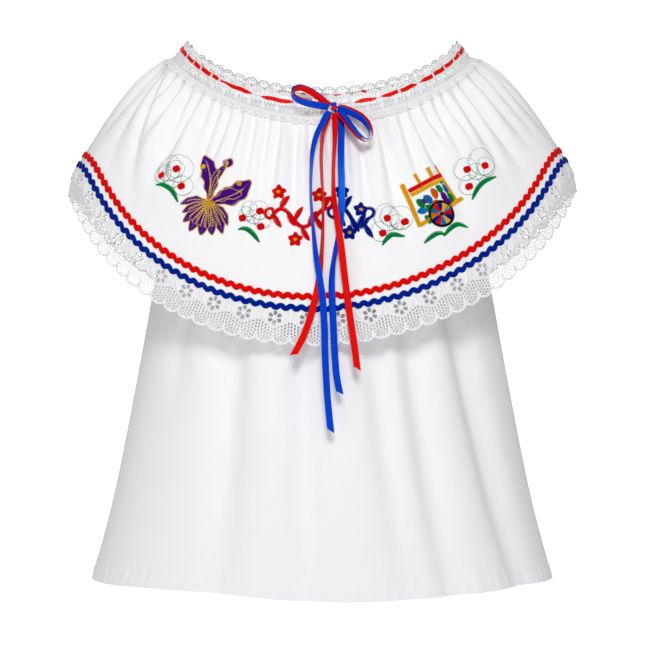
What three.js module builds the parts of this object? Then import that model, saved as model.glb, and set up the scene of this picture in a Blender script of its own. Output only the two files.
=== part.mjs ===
// An off-the-shoulder folk blouse, as it stands out when it is worn: an A-line body in two
// panels, a deep gathered flounce over it in two panels, a scalloped cutwork lace along the
// flounce, two rows of rickrack over that seam, and a neck lace with a ribbon run through it
// that is tied in a bow at the front.
//
// Millimetres, +Z up. The front faces -Y. The origin is the centre of the neck opening, level
// with the neck seam at the shoulders, where the wearer's shoulders hold the blouse up.
// Azimuths run round the body: 0 is the centre front, 90 the +X side and 180 the centre back.
import * as THREE from "three";

// ---------------------------------------------------------------- driving dimensions

const SEAM_GAP = 0.3;
const COTTON = 1.2;
const LACE_WALL = 1;
const RIBBON = { width: 6.5, wall: 0.8 };

const NECK = { halfWidth: 150, halfDepth: 95, frontDrop: 68, backDrop: 43 };
// How the neck seam and the body's hem dip from the sides to the centre.
const DIP_POWER = 1.55;

const FLOUNCE = {
  halfWidth: 243.5,
  frontDepth: 135,
  backDepth: 130,
  sideDrop: 103,
  frontDrop: 250,
  backDrop: 228,
};
// The flounce's hem stays level round the shoulder, up to this cosine of the azimuth, then falls
// in nearly straight lines to the centre. It hangs a little lower on the -X side.
const HEM_FALL = { start: 0.3, rounding: 0.11 };
const HEM_SKEW = { tilt: 3.6, ripple: 1.5 };
const BULGE = { height: 12, sidePower: 0.6, centrePower: 0.85 };

const HEM_LACE = { width: 36, repeats: 24, valley: 3.4 };
const FLOWER = { petals: 6, down: 11.5, ring: 4.6, petalLength: 4.8, petalWidth: 3.3 };

const NECK_LACE = { width: 25, scallops: 28, valley: 3.6, sideLean: 16, centreLean: 7, ribbonUp: 15.5 };

const RICKRACK = { width: 4.6, height: 1.3, swing: 1.4, lift: 1.1 };
// Each row's place below the flounce's hem and the length of its wave.
const RICKRACK_ROWS = {
  red: { below: -11, wave: 9.2 },
  blue: { below: 0, wave: 9.8 },
};

const ARMHOLE = { topAngle: 58, depth: 0.29, curve: 3 };
const BODY = { sideDrop: 518, frontDrop: 530, backDrop: 526, hem: 12.5, hemWall: 2.2 };
// The rows of points down each panel, from the neck seam, 0, to the hem, 1.
const BODY_ROWS = [0, 0.16, ARMHOLE.depth, 0.45, 0.62, 0.8];
const FLOUNCE_ROWS = [0, 0.09, 0.24, 0.45, 0.72];

// Half the body's width and its depth before and behind the side seams, from the neck, 0, to the hem, 1.
const BODY_SECTIONS = [
  { down: 0, halfWidth: 149, front: 94, back: 94 },
  { down: 0.15, halfWidth: 150, front: 105, back: 102 },
  { down: 0.29, halfWidth: 154, front: 118, back: 106 },
  { down: 0.46, halfWidth: 170, front: 123, back: 107 },
  { down: 0.65, halfWidth: 188, front: 124, back: 110 },
  { down: 0.85, halfWidth: 209, front: 125, back: 114 },
  { down: 1, halfWidth: 229.4, front: 127, back: 118 },
];

// The body's soft folds: where each lies at the neck end and at the hem, in degrees of azimuth,
// its depth, half its width in degrees, how far down it dies out, and how far it draws the hem up.
// A fold grows between two places down, starts to fade at a share of its length, and lifts the
// hem over so many times its own width.
const BODY_FOLD = { grows: [0.02, 0.3], fadesFrom: 0.4, liftSpread: 3 };
const BODY_FOLDS = [
  { top: -54, hem: -49, depth: 6, width: 5, ends: 0.75, lift: 3 },
  { top: -33, hem: -27, depth: 11, width: 6, ends: 1.5, lift: 5 },
  { top: -10, hem: -3, depth: 10, width: 5, ends: 1.5, lift: 0 },
  { top: 12, hem: 22, depth: 9, width: 4.5, ends: 1.3, lift: 0 },
  { top: 26, hem: 34, depth: 11, width: 5, ends: 1.5, lift: 1 },
  { top: 43, hem: 59, depth: 12, width: 6, ends: 1.5, lift: 2 },
  { top: 127, hem: 117, depth: 9, width: 6, ends: 1.5, lift: 2 },
  { top: 144, hem: 139, depth: 8, width: 5, ends: 1.3, lift: 0 },
  { top: 166, hem: 163, depth: 10, width: 5, ends: 1.5, lift: 0 },
  { top: 189, hem: 192, depth: 8, width: 5, ends: 1.3, lift: 0 },
  { top: 211, hem: 216, depth: 10, width: 6, ends: 1.5, lift: 3 },
  { top: 233, hem: 241, depth: 9, width: 6, ends: 1.5, lift: 2 },
];

// The flounce's gathers: where each leaves the neck seam and where it would meet the hem, in
// degrees, how deep it is, half its width at the neck in degrees, and how far down it dies out.
// A gather is full at a place down, widens on its way, and starts to fade at a share of its length.
const FLOUNCE_FOLD = { grown: 0.1, widening: 1.1, fadesFrom: 0.25, evenFrom: 0.6 };
const FLOUNCE_FOLDS = [
  { neck: -85, hem: -74, depth: 4.5, width: 3, ends: 0.9 },
  { neck: -80, hem: -63, depth: 6, width: 3.4, ends: 1 },
  { neck: -76, hem: -49, depth: 5, width: 2.2, ends: 0.97 },
  { neck: -67, hem: -60, depth: 4.5, width: 2, ends: 0.35 },
  { neck: -61, hem: -57, depth: 6, width: 2.2, ends: 0.55 },
  { neck: -55, hem: -47.5, depth: 6, width: 2, ends: 0.75 },
  { neck: -49.5, hem: -48.5, depth: 6, width: 1.9, ends: 0.75 },
  { neck: -44.5, hem: -37, depth: 5, width: 1.7, ends: 0.5 },
  { neck: -40, hem: -33, depth: 5.5, width: 1.9, ends: 0.65 },
  { neck: -35, hem: -31, depth: 5, width: 1.6, ends: 0.5 },
  { neck: -30.5, hem: -26, depth: 4.5, width: 1.7, ends: 0.45 },
  { neck: -25, hem: -20, depth: 5, width: 1.8, ends: 0.65 },
  { neck: -20, hem: -15.5, depth: 5, width: 1.7, ends: 0.6 },
  { neck: -15.5, hem: -13.5, depth: 4.5, width: 1.6, ends: 0.85 },
  { neck: -9.5, hem: -6.5, depth: 5, width: 1.8, ends: 0.75 },
  { neck: -4, hem: -3.5, depth: 4, width: 1.7, ends: 0.6 },
  { neck: 2.5, hem: 3, depth: 3.5, width: 1.8, ends: 0.6 },
  { neck: 8, hem: 7, depth: 4, width: 1.8, ends: 0.6 },
  { neck: 13, hem: 11, depth: 4.5, width: 1.8, ends: 0.75 },
  { neck: 17, hem: 14.5, depth: 3.5, width: 1.4, ends: 0.35 },
  { neck: 20.5, hem: 19.5, depth: 5.5, width: 1.8, ends: 0.9 },
  { neck: 24.5, hem: 22.5, depth: 4, width: 1.5, ends: 0.4 },
  { neck: 29, hem: 26, depth: 5, width: 1.7, ends: 0.55 },
  { neck: 33.5, hem: 38.5, depth: 6, width: 1.9, ends: 0.97 },
  { neck: 38.5, hem: 42, depth: 5, width: 1.7, ends: 0.4 },
  { neck: 44, hem: 41, depth: 5, width: 1.8, ends: 0.55 },
  { neck: 48.5, hem: 46.5, depth: 5, width: 1.7, ends: 0.4 },
  { neck: 54, hem: 52, depth: 5.5, width: 1.9, ends: 0.75 },
  { neck: 59, hem: 59.5, depth: 6, width: 2.1, ends: 0.97 },
  { neck: 67, hem: 66.5, depth: 6, width: 2.6, ends: 0.9 },
  { neck: 75, hem: 71, depth: 5, width: 2.8, ends: 0.9 },
  { neck: 84, hem: 77, depth: 4.5, width: 3, ends: 0.9 },
  { neck: 96, hem: 104, depth: 4.5, width: 3, ends: 0.9 },
  { neck: 104, hem: 112, depth: 6, width: 2.8, ends: 0.95 },
  { neck: 111, hem: 116, depth: 4.5, width: 2, ends: 0.4 },
  { neck: 117, hem: 124, depth: 5.5, width: 2.1, ends: 0.75 },
  { neck: 123, hem: 127, depth: 4.5, width: 1.8, ends: 0.45 },
  { neck: 129, hem: 137, depth: 6, width: 2, ends: 0.9 },
  { neck: 135, hem: 139, depth: 4.5, width: 1.7, ends: 0.4 },
  { neck: 140.5, hem: 145, depth: 5, width: 1.8, ends: 0.6 },
  { neck: 146, hem: 149, depth: 5, width: 1.7, ends: 0.5 },
  { neck: 151.5, hem: 156, depth: 5.5, width: 1.8, ends: 0.8 },
  { neck: 157, hem: 159, depth: 4, width: 1.6, ends: 0.4 },
  { neck: 162.5, hem: 165, depth: 5, width: 1.8, ends: 0.65 },
  { neck: 168, hem: 169, depth: 4.5, width: 1.6, ends: 0.5 },
  { neck: 174, hem: 175.5, depth: 5.5, width: 1.8, ends: 0.85 },
  { neck: 180, hem: 179.5, depth: 4, width: 1.7, ends: 0.4 },
  { neck: 185.5, hem: 185, depth: 5, width: 1.8, ends: 0.7 },
  { neck: 191, hem: 189, depth: 4.5, width: 1.6, ends: 0.45 },
  { neck: 196.5, hem: 194, depth: 5.5, width: 1.8, ends: 0.8 },
  { neck: 202.5, hem: 200, depth: 4.5, width: 1.7, ends: 0.5 },
  { neck: 208, hem: 203, depth: 5, width: 1.8, ends: 0.6 },
  { neck: 214, hem: 209, depth: 6, width: 1.9, ends: 0.9 },
  { neck: 220, hem: 215, depth: 4.5, width: 1.7, ends: 0.4 },
  { neck: 225.5, hem: 219, depth: 5, width: 1.8, ends: 0.65 },
  { neck: 231.5, hem: 226, depth: 5.5, width: 2, ends: 0.85 },
  { neck: 238, hem: 233, depth: 4.5, width: 1.9, ends: 0.45 },
  { neck: 245, hem: 240, depth: 6, width: 2.2, ends: 0.9 },
  { neck: 252.5, hem: 246, depth: 4.5, width: 2.4, ends: 0.6 },
  { neck: 259, hem: 252, depth: 5.5, width: 2.8, ends: 0.95 },
  { neck: 266, hem: 260, depth: 4.5, width: 3, ends: 0.9 },
];

const PANELS = {
  front: { from: -90, to: 90 },
  back: { from: 90, to: 270 },
};
// The panels stop this far short of the side seams, in degrees.
const SIDE_SEAM = 0.1;

const WHITE = { color: 0xf6f6f8, roughness: 0.85, metalness: 0 };
const RED = { color: 0xd8100c, roughness: 0.45, metalness: 0 };
const BLUE = { color: 0x0a1fa8, roughness: 0.45, metalness: 0 };

// ---------------------------------------------------------------- small helpers

const { degToRad: rad, lerp, smoothstep } = THREE.MathUtils;
const vec = (x, y, z) => new THREE.Vector3(x, y, z);
const DOWN = vec(0, 0, -1);

function steps(from, to, count) {
  return Array.from({ length: count + 1 }, (_, i) => lerp(from, to, i / count));
}

function outward(azimuth) {
  return vec(Math.sin(rad(azimuth)), -Math.cos(rad(azimuth)), 0);
}

// The value of one column of a table of rows at a place down, on a smooth curve through the rows.
function column(rows, name, down) {
  let i = 1;
  while (i < rows.length - 1 && rows[i].down < down) i += 1;
  const before = rows[Math.max(i - 2, 0)];
  const start = rows[i - 1];
  const end = rows[i];
  const after = rows[Math.min(i + 1, rows.length - 1)];
  const span = end.down - start.down;
  const t = (down - start.down) / span;
  const leave = ((end[name] - before[name]) / (end.down - before.down)) * span;
  const arrive = ((after[name] - start[name]) / (after.down - start.down)) * span;
  const t2 = t * t;
  const t3 = t2 * t;
  return (
    (2 * t3 - 3 * t2 + 1) * start[name] +
    (t3 - 2 * t2 + t) * leave +
    (3 * t2 - 2 * t3) * end[name] +
    (t3 - t2) * arrive
  );
}

// A height that runs from a value at the sides to one at the centre front or back.
function dip(azimuth, side, front, back) {
  const c = Math.cos(rad(azimuth));
  return side + ((c > 0 ? front : back) - side) * Math.abs(c) ** DIP_POWER;
}

function ringPoint(azimuth, halfWidth, frontDepth, backDepth, z) {
  const away = outward(azimuth);
  const depth = away.y < 0 ? frontDepth : backDepth;
  return vec(away.x * halfWidth, away.y * depth, z);
}

// A soft valley across a ring of azimuths, 1 on its line and 0 away from it.
function valley(azimuth, at, width) {
  const turn = (((azimuth - at + 180) % 360) + 360) % 360 - 180;
  return Math.exp(-((turn / width) ** 2));
}

// ---------------------------------------------------------------- the blouse's surfaces

// A point of the neck seam, moved out by so much.
function neckPoint(azimuth, out = 0) {
  const z = -dip(azimuth, 0, NECK.frontDrop, NECK.backDrop);
  const point = ringPoint(azimuth, NECK.halfWidth, NECK.halfDepth, NECK.halfDepth, z);
  return point.addScaledVector(outward(azimuth), out);
}

// How far the flounce's hem has fallen at an azimuth, from the side, 0, to the centre, 1.
function hemFall(azimuth) {
  const [side, here, centre] = [0, Math.abs(Math.cos(rad(azimuth))), 1].map((cosine) => {
    const past = cosine - HEM_FALL.start;
    return past + Math.hypot(past, HEM_FALL.rounding);
  });
  return (here - side) / (centre - side);
}

function flounceHemPoint(azimuth) {
  const centreDrop = Math.cos(rad(azimuth)) > 0 ? FLOUNCE.frontDrop : FLOUNCE.backDrop;
  const skew = HEM_SKEW.tilt * Math.sin(rad(azimuth)) + HEM_SKEW.ripple * Math.sin(3 * rad(azimuth));
  const z = skew - lerp(FLOUNCE.sideDrop, centreDrop, hemFall(azimuth));
  return ringPoint(azimuth, FLOUNCE.halfWidth, FLOUNCE.frontDepth, FLOUNCE.backDepth, z);
}

// How far a gather has sunk the flounce at a place, from the neck seam, 0, to the hem, 1.
function flounceFold(azimuth, down) {
  const grown = smoothstep(down, 0, FLOUNCE_FOLD.grown);
  return FLOUNCE_FOLDS.reduce((sum, fold) => {
    const at = lerp(fold.neck, fold.hem, down);
    const width = fold.width * (1 + FLOUNCE_FOLD.widening * down);
    const left = 1 - smoothstep(down, FLOUNCE_FOLD.fadesFrom * fold.ends, fold.ends);
    return sum + fold.depth * grown * left * valley(azimuth, at, width);
  }, 0);
}

// The flounce without its gathers, and then with them.
function flounceEnvelope(azimuth, down, sunk = 0) {
  const start = neckPoint(azimuth, SEAM_GAP + COTTON / 2);
  const chord = flounceHemPoint(azimuth).sub(start);
  const along = chord.clone().normalize();
  const away = outward(azimuth);
  away.addScaledVector(along, -away.dot(along)).normalize();
  const power = lerp(BULGE.sidePower, BULGE.centrePower, Math.cos(rad(azimuth)) ** 2);
  const bulge = BULGE.height * Math.sin(Math.PI * Math.max(down, 0) ** power);
  return start.addScaledVector(chord, down).addScaledVector(away, bulge - sunk);
}

function flouncePoint(azimuth, down) {
  return flounceEnvelope(azimuth, down, flounceFold(azimuth, down));
}

// A direction made square to a line, but left as it is at the side seams, up to this cosine.
const SIDE_REACH = 0.2;
function squareTo(direction, along, azimuth) {
  const share = smoothstep(Math.abs(Math.cos(rad(azimuth))), 0, SIDE_REACH);
  return direction.clone().addScaledVector(along, -direction.dot(along) * share);
}

// A point so many millimetres square to the flounce's hem: down on the lace, or up the flounce
// if negative.
function hemPoint(azimuth, millimetres) {
  const length = flounceHemPoint(azimuth).distanceTo(neckPoint(azimuth));
  const end = flouncePoint(azimuth, 1);
  const along = flounceHemPoint(azimuth + 0.5).sub(flounceHemPoint(azimuth - 0.5)).normalize();
  const fall = end.clone().sub(flouncePoint(azimuth, 1 - 2 / length)).normalize();
  const square = squareTo(fall, along, azimuth);
  if (millimetres <= 0) return flouncePoint(azimuth, 1 + millimetres / (length * square.length()));
  const plumb = squareTo(DOWN, along, azimuth).normalize();
  square.normalize().lerp(plumb, (0.5 * millimetres) / HEM_LACE.width);
  return end.addScaledVector(square, millimetres);
}

// A point of the neck lace, so many millimetres above the neck seam.
function neckLacePoint(azimuth, millimetres) {
  const { sideLean, centreLean, width } = NECK_LACE;
  const lean = -dip(azimuth, sideLean, centreLean, centreLean) / width;
  const rise = Math.sqrt(1 - lean * lean);
  return neckPoint(azimuth, lean * millimetres).add(vec(0, 0, rise * millimetres));
}

function armholeAngle(down) {
  const share = Math.min(down / ARMHOLE.depth, 1);
  return lerp(ARMHOLE.topAngle, 90 - SIDE_SEAM, share ** ARMHOLE.curve);
}

function bodyPoint(azimuth, down) {
  const start = neckPoint(azimuth).z;
  const raised = BODY_FOLDS.reduce(
    (sum, fold) => sum + fold.lift * valley(azimuth, fold.hem, BODY_FOLD.liftSpread * fold.width),
    0,
  );
  const end = raised - dip(azimuth, BODY.sideDrop, BODY.frontDrop, BODY.backDrop);
  const halfWidth = column(BODY_SECTIONS, "halfWidth", down);
  const front = column(BODY_SECTIONS, "front", down);
  const back = column(BODY_SECTIONS, "back", down);
  const sunk = BODY_FOLDS.reduce((sum, fold) => {
    const grown = smoothstep(down, ...BODY_FOLD.grows);
    const left = 1 - smoothstep(down, BODY_FOLD.fadesFrom * fold.ends, fold.ends);
    return sum + fold.depth * grown * left * valley(azimuth, lerp(fold.top, fold.hem, down), fold.width);
  }, 0);
  const point = ringPoint(azimuth, halfWidth, front, back, lerp(start, end, down));
  return point.addScaledVector(outward(azimuth), -sunk);
}

// ---------------------------------------------------------------- solids

function geometryOf(triangles) {
  const positions = triangles.flat().flatMap((p) => [p.x, p.y, p.z]);
  const geometry = new THREE.BufferGeometry();
  geometry.setAttribute("position", new THREE.Float32BufferAttribute(positions, 3));
  geometry.computeVertexNormals();
  return geometry;
}

const quad = (a, b, c, d) => [
  [a, b, c],
  [a, c, d],
];

// The closed wall between an outer and an inner grid of points. Rows run down and columns run
// round with rising azimuth.
function closedWall(outer, inner) {
  const rows = outer.length - 1;
  const columns = outer[0].length - 1;
  const triangles = [];
  for (let i = 0; i < rows; i += 1) {
    for (let j = 0; j < columns; j += 1) {
      triangles.push(...quad(outer[i][j], outer[i + 1][j], outer[i + 1][j + 1], outer[i][j + 1]));
      triangles.push(...quad(inner[i][j], inner[i][j + 1], inner[i + 1][j + 1], inner[i + 1][j]));
    }
    triangles.push(...quad(inner[i][0], inner[i + 1][0], outer[i + 1][0], outer[i][0]));
    const end = columns;
    triangles.push(...quad(outer[i][end], outer[i + 1][end], inner[i + 1][end], inner[i][end]));
  }
  for (let j = 0; j < columns; j += 1) {
    triangles.push(...quad(inner[0][j], outer[0][j], outer[0][j + 1], inner[0][j + 1]));
    triangles.push(...quad(outer[rows][j], inner[rows][j], inner[rows][j + 1], outer[rows][j + 1]));
  }
  return geometryOf(triangles);
}

// The outward normal of a surface given as a function of two numbers.
function normalOf(surface, azimuth, down, step) {
  const across = surface(azimuth + 0.05, down).sub(surface(azimuth - 0.05, down));
  const fall = surface(azimuth, down + step).sub(surface(azimuth, down - step));
  return fall.cross(across).normalize();
}

// A row of cloth walls: each point of the grid is moved half the thickness out and in. The top
// row is moved level, so that two cloths sewn into one seam stand side by side.
function clothWall(surface, azimuthsAt, downs, wallAt) {
  const sides = [1, -1].map((side) =>
    downs.map((down, row) =>
      azimuthsAt(down).map((azimuth) => {
        const normal = row === 0 ? outward(azimuth) : normalOf(surface, azimuth, down, 0.004);
        return surface(azimuth, down).addScaledVector(normal, (side * wallAt(down)) / 2);
      }),
    ),
  );
  return closedWall(...sides);
}

// Azimuths across a panel at one row: one on each fold's line, so many steps between each pair,
// and so many from each side edge to the nearest fold. Where one fold's line crosses another that
// has died out, the azimuths keep their order.
function foldAzimuths(lines, from, to, foldSteps, edgeSteps) {
  const stops = [from, ...lines.sort((a, b) => a - b), to];
  return stops.slice(1).reduce((all, stop, i) => {
    const atEdge = i === 0 || i === stops.length - 2;
    return [...all, ...steps(stops[i], stop, atEdge ? edgeSteps : foldSteps).slice(1)];
  }, [from]);
}

function bodyPanel({ from, to }) {
  const middle = (from + to) / 2;
  const folds = BODY_FOLDS.filter((fold) => fold.hem > from && fold.hem < to);
  const azimuths = (down) => {
    const reach = armholeAngle(down);
    const lines = folds.map((fold) => lerp(fold.top, fold.hem, down));
    return foldAzimuths(lines, middle - reach, middle + reach, 3, 3);
  };
  const hemTop = 1 - BODY.hem / BODY.sideDrop;
  const aboveHem = hemTop - 0.008;
  const wallAt = (down) => (down >= hemTop ? BODY.hemWall : COTTON);
  return clothWall(bodyPoint, azimuths, [...BODY_ROWS, aboveHem, hemTop, 1], wallAt);
}

// The flounce's columns follow its gathers, and turn even towards the hem, where these are faint.
function flouncePanel({ from, to }) {
  const folds = FLOUNCE_FOLDS.filter((fold) => fold.neck > from && fold.neck < to);
  const [start, stop] = [from + SIDE_SEAM, to - SIDE_SEAM];
  const azimuths = (down) => {
    const lines = folds.map((fold) => lerp(fold.neck, fold.hem, down));
    const onFolds = foldAzimuths(lines, start, stop, 2, 2);
    const even = steps(start, stop, onFolds.length - 1);
    return onFolds.map((azimuth, j) => lerp(azimuth, even[j], smoothstep(down, FLOUNCE_FOLD.evenFrom, 1)));
  };
  const end = 1 - SEAM_GAP / (FLOUNCE.frontDrop - NECK.frontDrop);
  return clothWall(flouncePoint, azimuths, [...FLOUNCE_ROWS, end], () => COTTON);
}

// Azimuths of places that lie evenly along a curve round the blouse.
function evenAzimuths(curve, from, to, count) {
  const fine = steps(from, to, 720);
  const lengths = [0];
  for (let i = 1; i < fine.length; i += 1) {
    lengths.push(lengths[i - 1] + curve(fine[i]).distanceTo(curve(fine[i - 1])));
  }
  const total = lengths.at(-1);
  const azimuths = steps(0, total, count).map((length) => {
    const i = Math.min(Math.max(lengths.findIndex((l) => l >= length), 1), fine.length - 1);
    return lerp(fine[i - 1], fine[i], (length - lengths[i - 1]) / (lengths[i] - lengths[i - 1]));
  });
  return { total, at: (share) => between(azimuths, share * count) };
}

function between(values, place) {
  const i = Math.min(Math.floor(place), values.length - 2);
  return lerp(values[i], values[i + 1], place - i);
}

// One repeat of the hem lace, flat: x runs from 0 to 1 along the seam, y is millimetres down.
function laceRepeat(length) {
  const tip = HEM_LACE.width;
  const valleyY = tip - HEM_LACE.valley;
  const low = [
    [1, valleyY],
    [0.83, tip],
    [0.67, tip],
    [0.5, valleyY],
    [0.33, tip],
    [0.17, tip],
    [0, valleyY],
  ].map(([x, y]) => new THREE.Vector2(x, y));
  const top = [0, 0.5, 1].map((x) => new THREE.Vector2(x, SEAM_GAP));
  const holes = steps(0, 2 * Math.PI, FLOWER.petals).slice(1).map((turn) => {
    const radial = new THREE.Vector2(Math.sin(turn), Math.cos(turn));
    const side = new THREE.Vector2(radial.y, -radial.x);
    const corners = [
      [-0.5, 0],
      [0.1, 0.5],
      [0.5, 0],
      [0.1, -0.5],
    ];
    return corners.map(([out, across]) => {
      const reach = FLOWER.ring + out * FLOWER.petalLength;
      const offset = across * FLOWER.petalWidth;
      const x = radial.x * reach + side.x * offset;
      const y = radial.y * reach + side.y * offset;
      return new THREE.Vector2(0.5 + x / length, FLOWER.down + y);
    });
  });
  return { contour: [...top, ...low], topEdges: 2, holes };
}

function hemLacePanel({ from, to }) {
  const margin = 3 * SIDE_SEAM;
  const even = evenAzimuths((a) => hemPoint(a, 0), from + margin, to - margin, 88);
  const { contour, topEdges, holes } = laceRepeat(even.total / HEM_LACE.repeats);
  const flat = [...contour, ...holes.flat()];
  const faces = THREE.ShapeUtils.triangulateShape(contour, holes);
  const place = (repeat, p, side) => {
    const azimuth = even.at((repeat + p.x) / HEM_LACE.repeats);
    const normal = normalOf(hemPoint, azimuth, Math.max(p.y, 2), 1);
    return hemPoint(azimuth, p.y).addScaledVector(normal, (side * LACE_WALL) / 2);
  };
  const triangles = [];
  for (let repeat = 0; repeat < HEM_LACE.repeats; repeat += 1) {
    const outer = flat.map((p) => place(repeat, p, 1));
    const inner = flat.map((p) => place(repeat, p, -1));
    const rim = (i, j) => triangles.push(...quad(outer[i], inner[i], inner[j], outer[j]));
    for (const [a, b, c] of faces) {
      const facing = flat[b].clone().sub(flat[a]).cross(flat[c].clone().sub(flat[a]));
      const [i, j, k] = facing < 0 ? [a, b, c] : [a, c, b];
      triangles.push([outer[i], outer[j], outer[k]], [inner[i], inner[k], inner[j]]);
    }
    contour.forEach((_, i) => {
      const next = (i + 1) % contour.length;
      const isLeftEnd = i === contour.length - 1;
      const isRightEnd = i === topEdges;
      const inside = (isLeftEnd && repeat > 0) || (isRightEnd && repeat < HEM_LACE.repeats - 1);
      if (!inside) rim(next, i);
    });
    holes.forEach((hole, h) => {
      const first = contour.length + h * hole.length;
      const turn = THREE.ShapeUtils.area(hole) * THREE.ShapeUtils.area(contour);
      hole.forEach((_, i) => {
        const here = first + i;
        const next = first + ((i + 1) % hole.length);
        if (turn < 0) rim(next, here);
        else rim(here, next);
      });
    });
  }
  return geometryOf(triangles);
}

function neckLacePanel({ from, to }) {
  const even = evenAzimuths((a) => neckLacePoint(a, 0), from + SIDE_SEAM, to - SIDE_SEAM, 72);
  const columns = NECK_LACE.scallops * 2;
  const azimuths = steps(0, 1, columns).map((share) => even.at(share));
  const tops = azimuths.map((_, j) => NECK_LACE.width - (j % 2 === 0 ? NECK_LACE.valley : 0));
  const side = (half) =>
    [tops, tops.map(() => 1.5 * SEAM_GAP)].map((heights) =>
      heights.map((height, j) => {
        return neckLacePoint(azimuths[j], height).addScaledVector(outward(azimuths[j]), half);
      }),
    );
  return closedWall(side(LACE_WALL / 2), side(-LACE_WALL / 2));
}

// A closed flat band through points, its width along a direction given at each of them.
function band(points, widthwise, width, wall) {
  const sections = points.map((point, i) => {
    const ahead = points[Math.min(i + 1, points.length - 1)];
    const behind = points[Math.max(i - 1, 0)];
    const along = ahead.clone().sub(behind).normalize();
    const across = widthwise[i].clone().addScaledVector(along, -widthwise[i].dot(along)).normalize();
    const through = across.clone().cross(along);
    const corner = (a, t) =>
      point.clone().addScaledVector(across, (a * width) / 2).addScaledVector(through, (t * wall) / 2);
    return [corner(-1, 1), corner(1, 1), corner(1, -1), corner(-1, -1)];
  });
  return tube(sections);
}

// A closed tube through rings of points.
function tube(sections) {
  const size = sections[0].length;
  const triangles = [];
  for (let i = 0; i < sections.length - 1; i += 1) {
    for (let k = 0; k < size; k += 1) {
      const next = (k + 1) % size;
      triangles.push(...quad(sections[i][k], sections[i][next], sections[i + 1][next], sections[i + 1][k]));
    }
  }
  const [first, last] = [sections[0], sections.at(-1)];
  for (let k = 1; k < size - 1; k += 1) {
    triangles.push([first[0], first[k + 1], first[k]], [last[0], last[k], last[k + 1]]);
  }
  return outsideOut(triangles);
}

// The triangles with their faces pointing out, whichever way round the tube was made.
function outsideOut(triangles) {
  const volume = triangles.reduce((sum, [a, b, c]) => sum + a.dot(b.clone().cross(c)), 0);
  return geometryOf(volume < 0 ? triangles.map(([a, b, c]) => [a, c, b]) : triangles);
}

// A zigzag braid laid on the flounce and lace.
function rickrackRow({ from, to }, { below, wave }) {
  const margin = 2 * SIDE_SEAM;
  const even = evenAzimuths((a) => hemPoint(a, below), from + margin, to - margin, 90);
  const bends = 2 * Math.round(even.total / wave);
  const sections = steps(0, 1, bends).map((share, i) => {
    const azimuth = even.at(share);
    const middle = below + (i % 2 === 0 ? RICKRACK.swing : -RICKRACK.swing);
    const normal = normalOf(hemPoint, azimuth, below, 1);
    const at = (down, lift) => hemPoint(azimuth, middle + down).addScaledVector(normal, RICKRACK.lift + lift);
    return [at(-RICKRACK.width / 2, 0), at(RICKRACK.width / 2, 0), at(0, RICKRACK.height)];
  });
  return tube(sections);
}

// The ribbon round the neck lace, lying on its outside.
function neckRibbon({ from, to }) {
  const lift = LACE_WALL / 2 + 2 * SEAM_GAP + RIBBON.wall / 2;
  const margin = 4 * SIDE_SEAM;
  const azimuths = steps(from + margin, to - margin, 30);
  const points = azimuths.map((a) => neckLacePoint(a, NECK_LACE.ribbonUp).addScaledVector(outward(a), lift));
  const widthwise = azimuths.map((a) => neckLacePoint(a, 1).sub(neckLacePoint(a, 0)));
  return band(points, widthwise, RIBBON.width, RIBBON.wall);
}

// ---------------------------------------------------------------- the bow

const KNOT = { x: 10.7, z: -56.5, radiusX: 4, radiusY: 3, radiusZ: 4.2, ahead: 6 };
const LOOP_STEPS = 14;
const TAIL_STEPS = 17;

// How far forward the front of the blouse reaches on its centre plane at a height: down the
// flounce from just under the seam, then its lace, then straight down from the lace's tips.
const CENTRE_LINE = { start: 0.02, flounceSteps: 60, laceSteps: 12 };
function frontDepthAt(z) {
  const { start, flounceSteps, laceSteps } = CENTRE_LINE;
  const flounce = steps(start, 1, flounceSteps).map((down) => flounceEnvelope(0, down));
  const lace = steps(0, HEM_LACE.width, laceSteps).map((millimetres) => hemPoint(0, millimetres));
  const line = [...flounce, ...lace];
  const below = line.findIndex((p) => p.z <= z);
  if (below < 0) return line.at(-1).y;
  return line[below].y;
}

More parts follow.
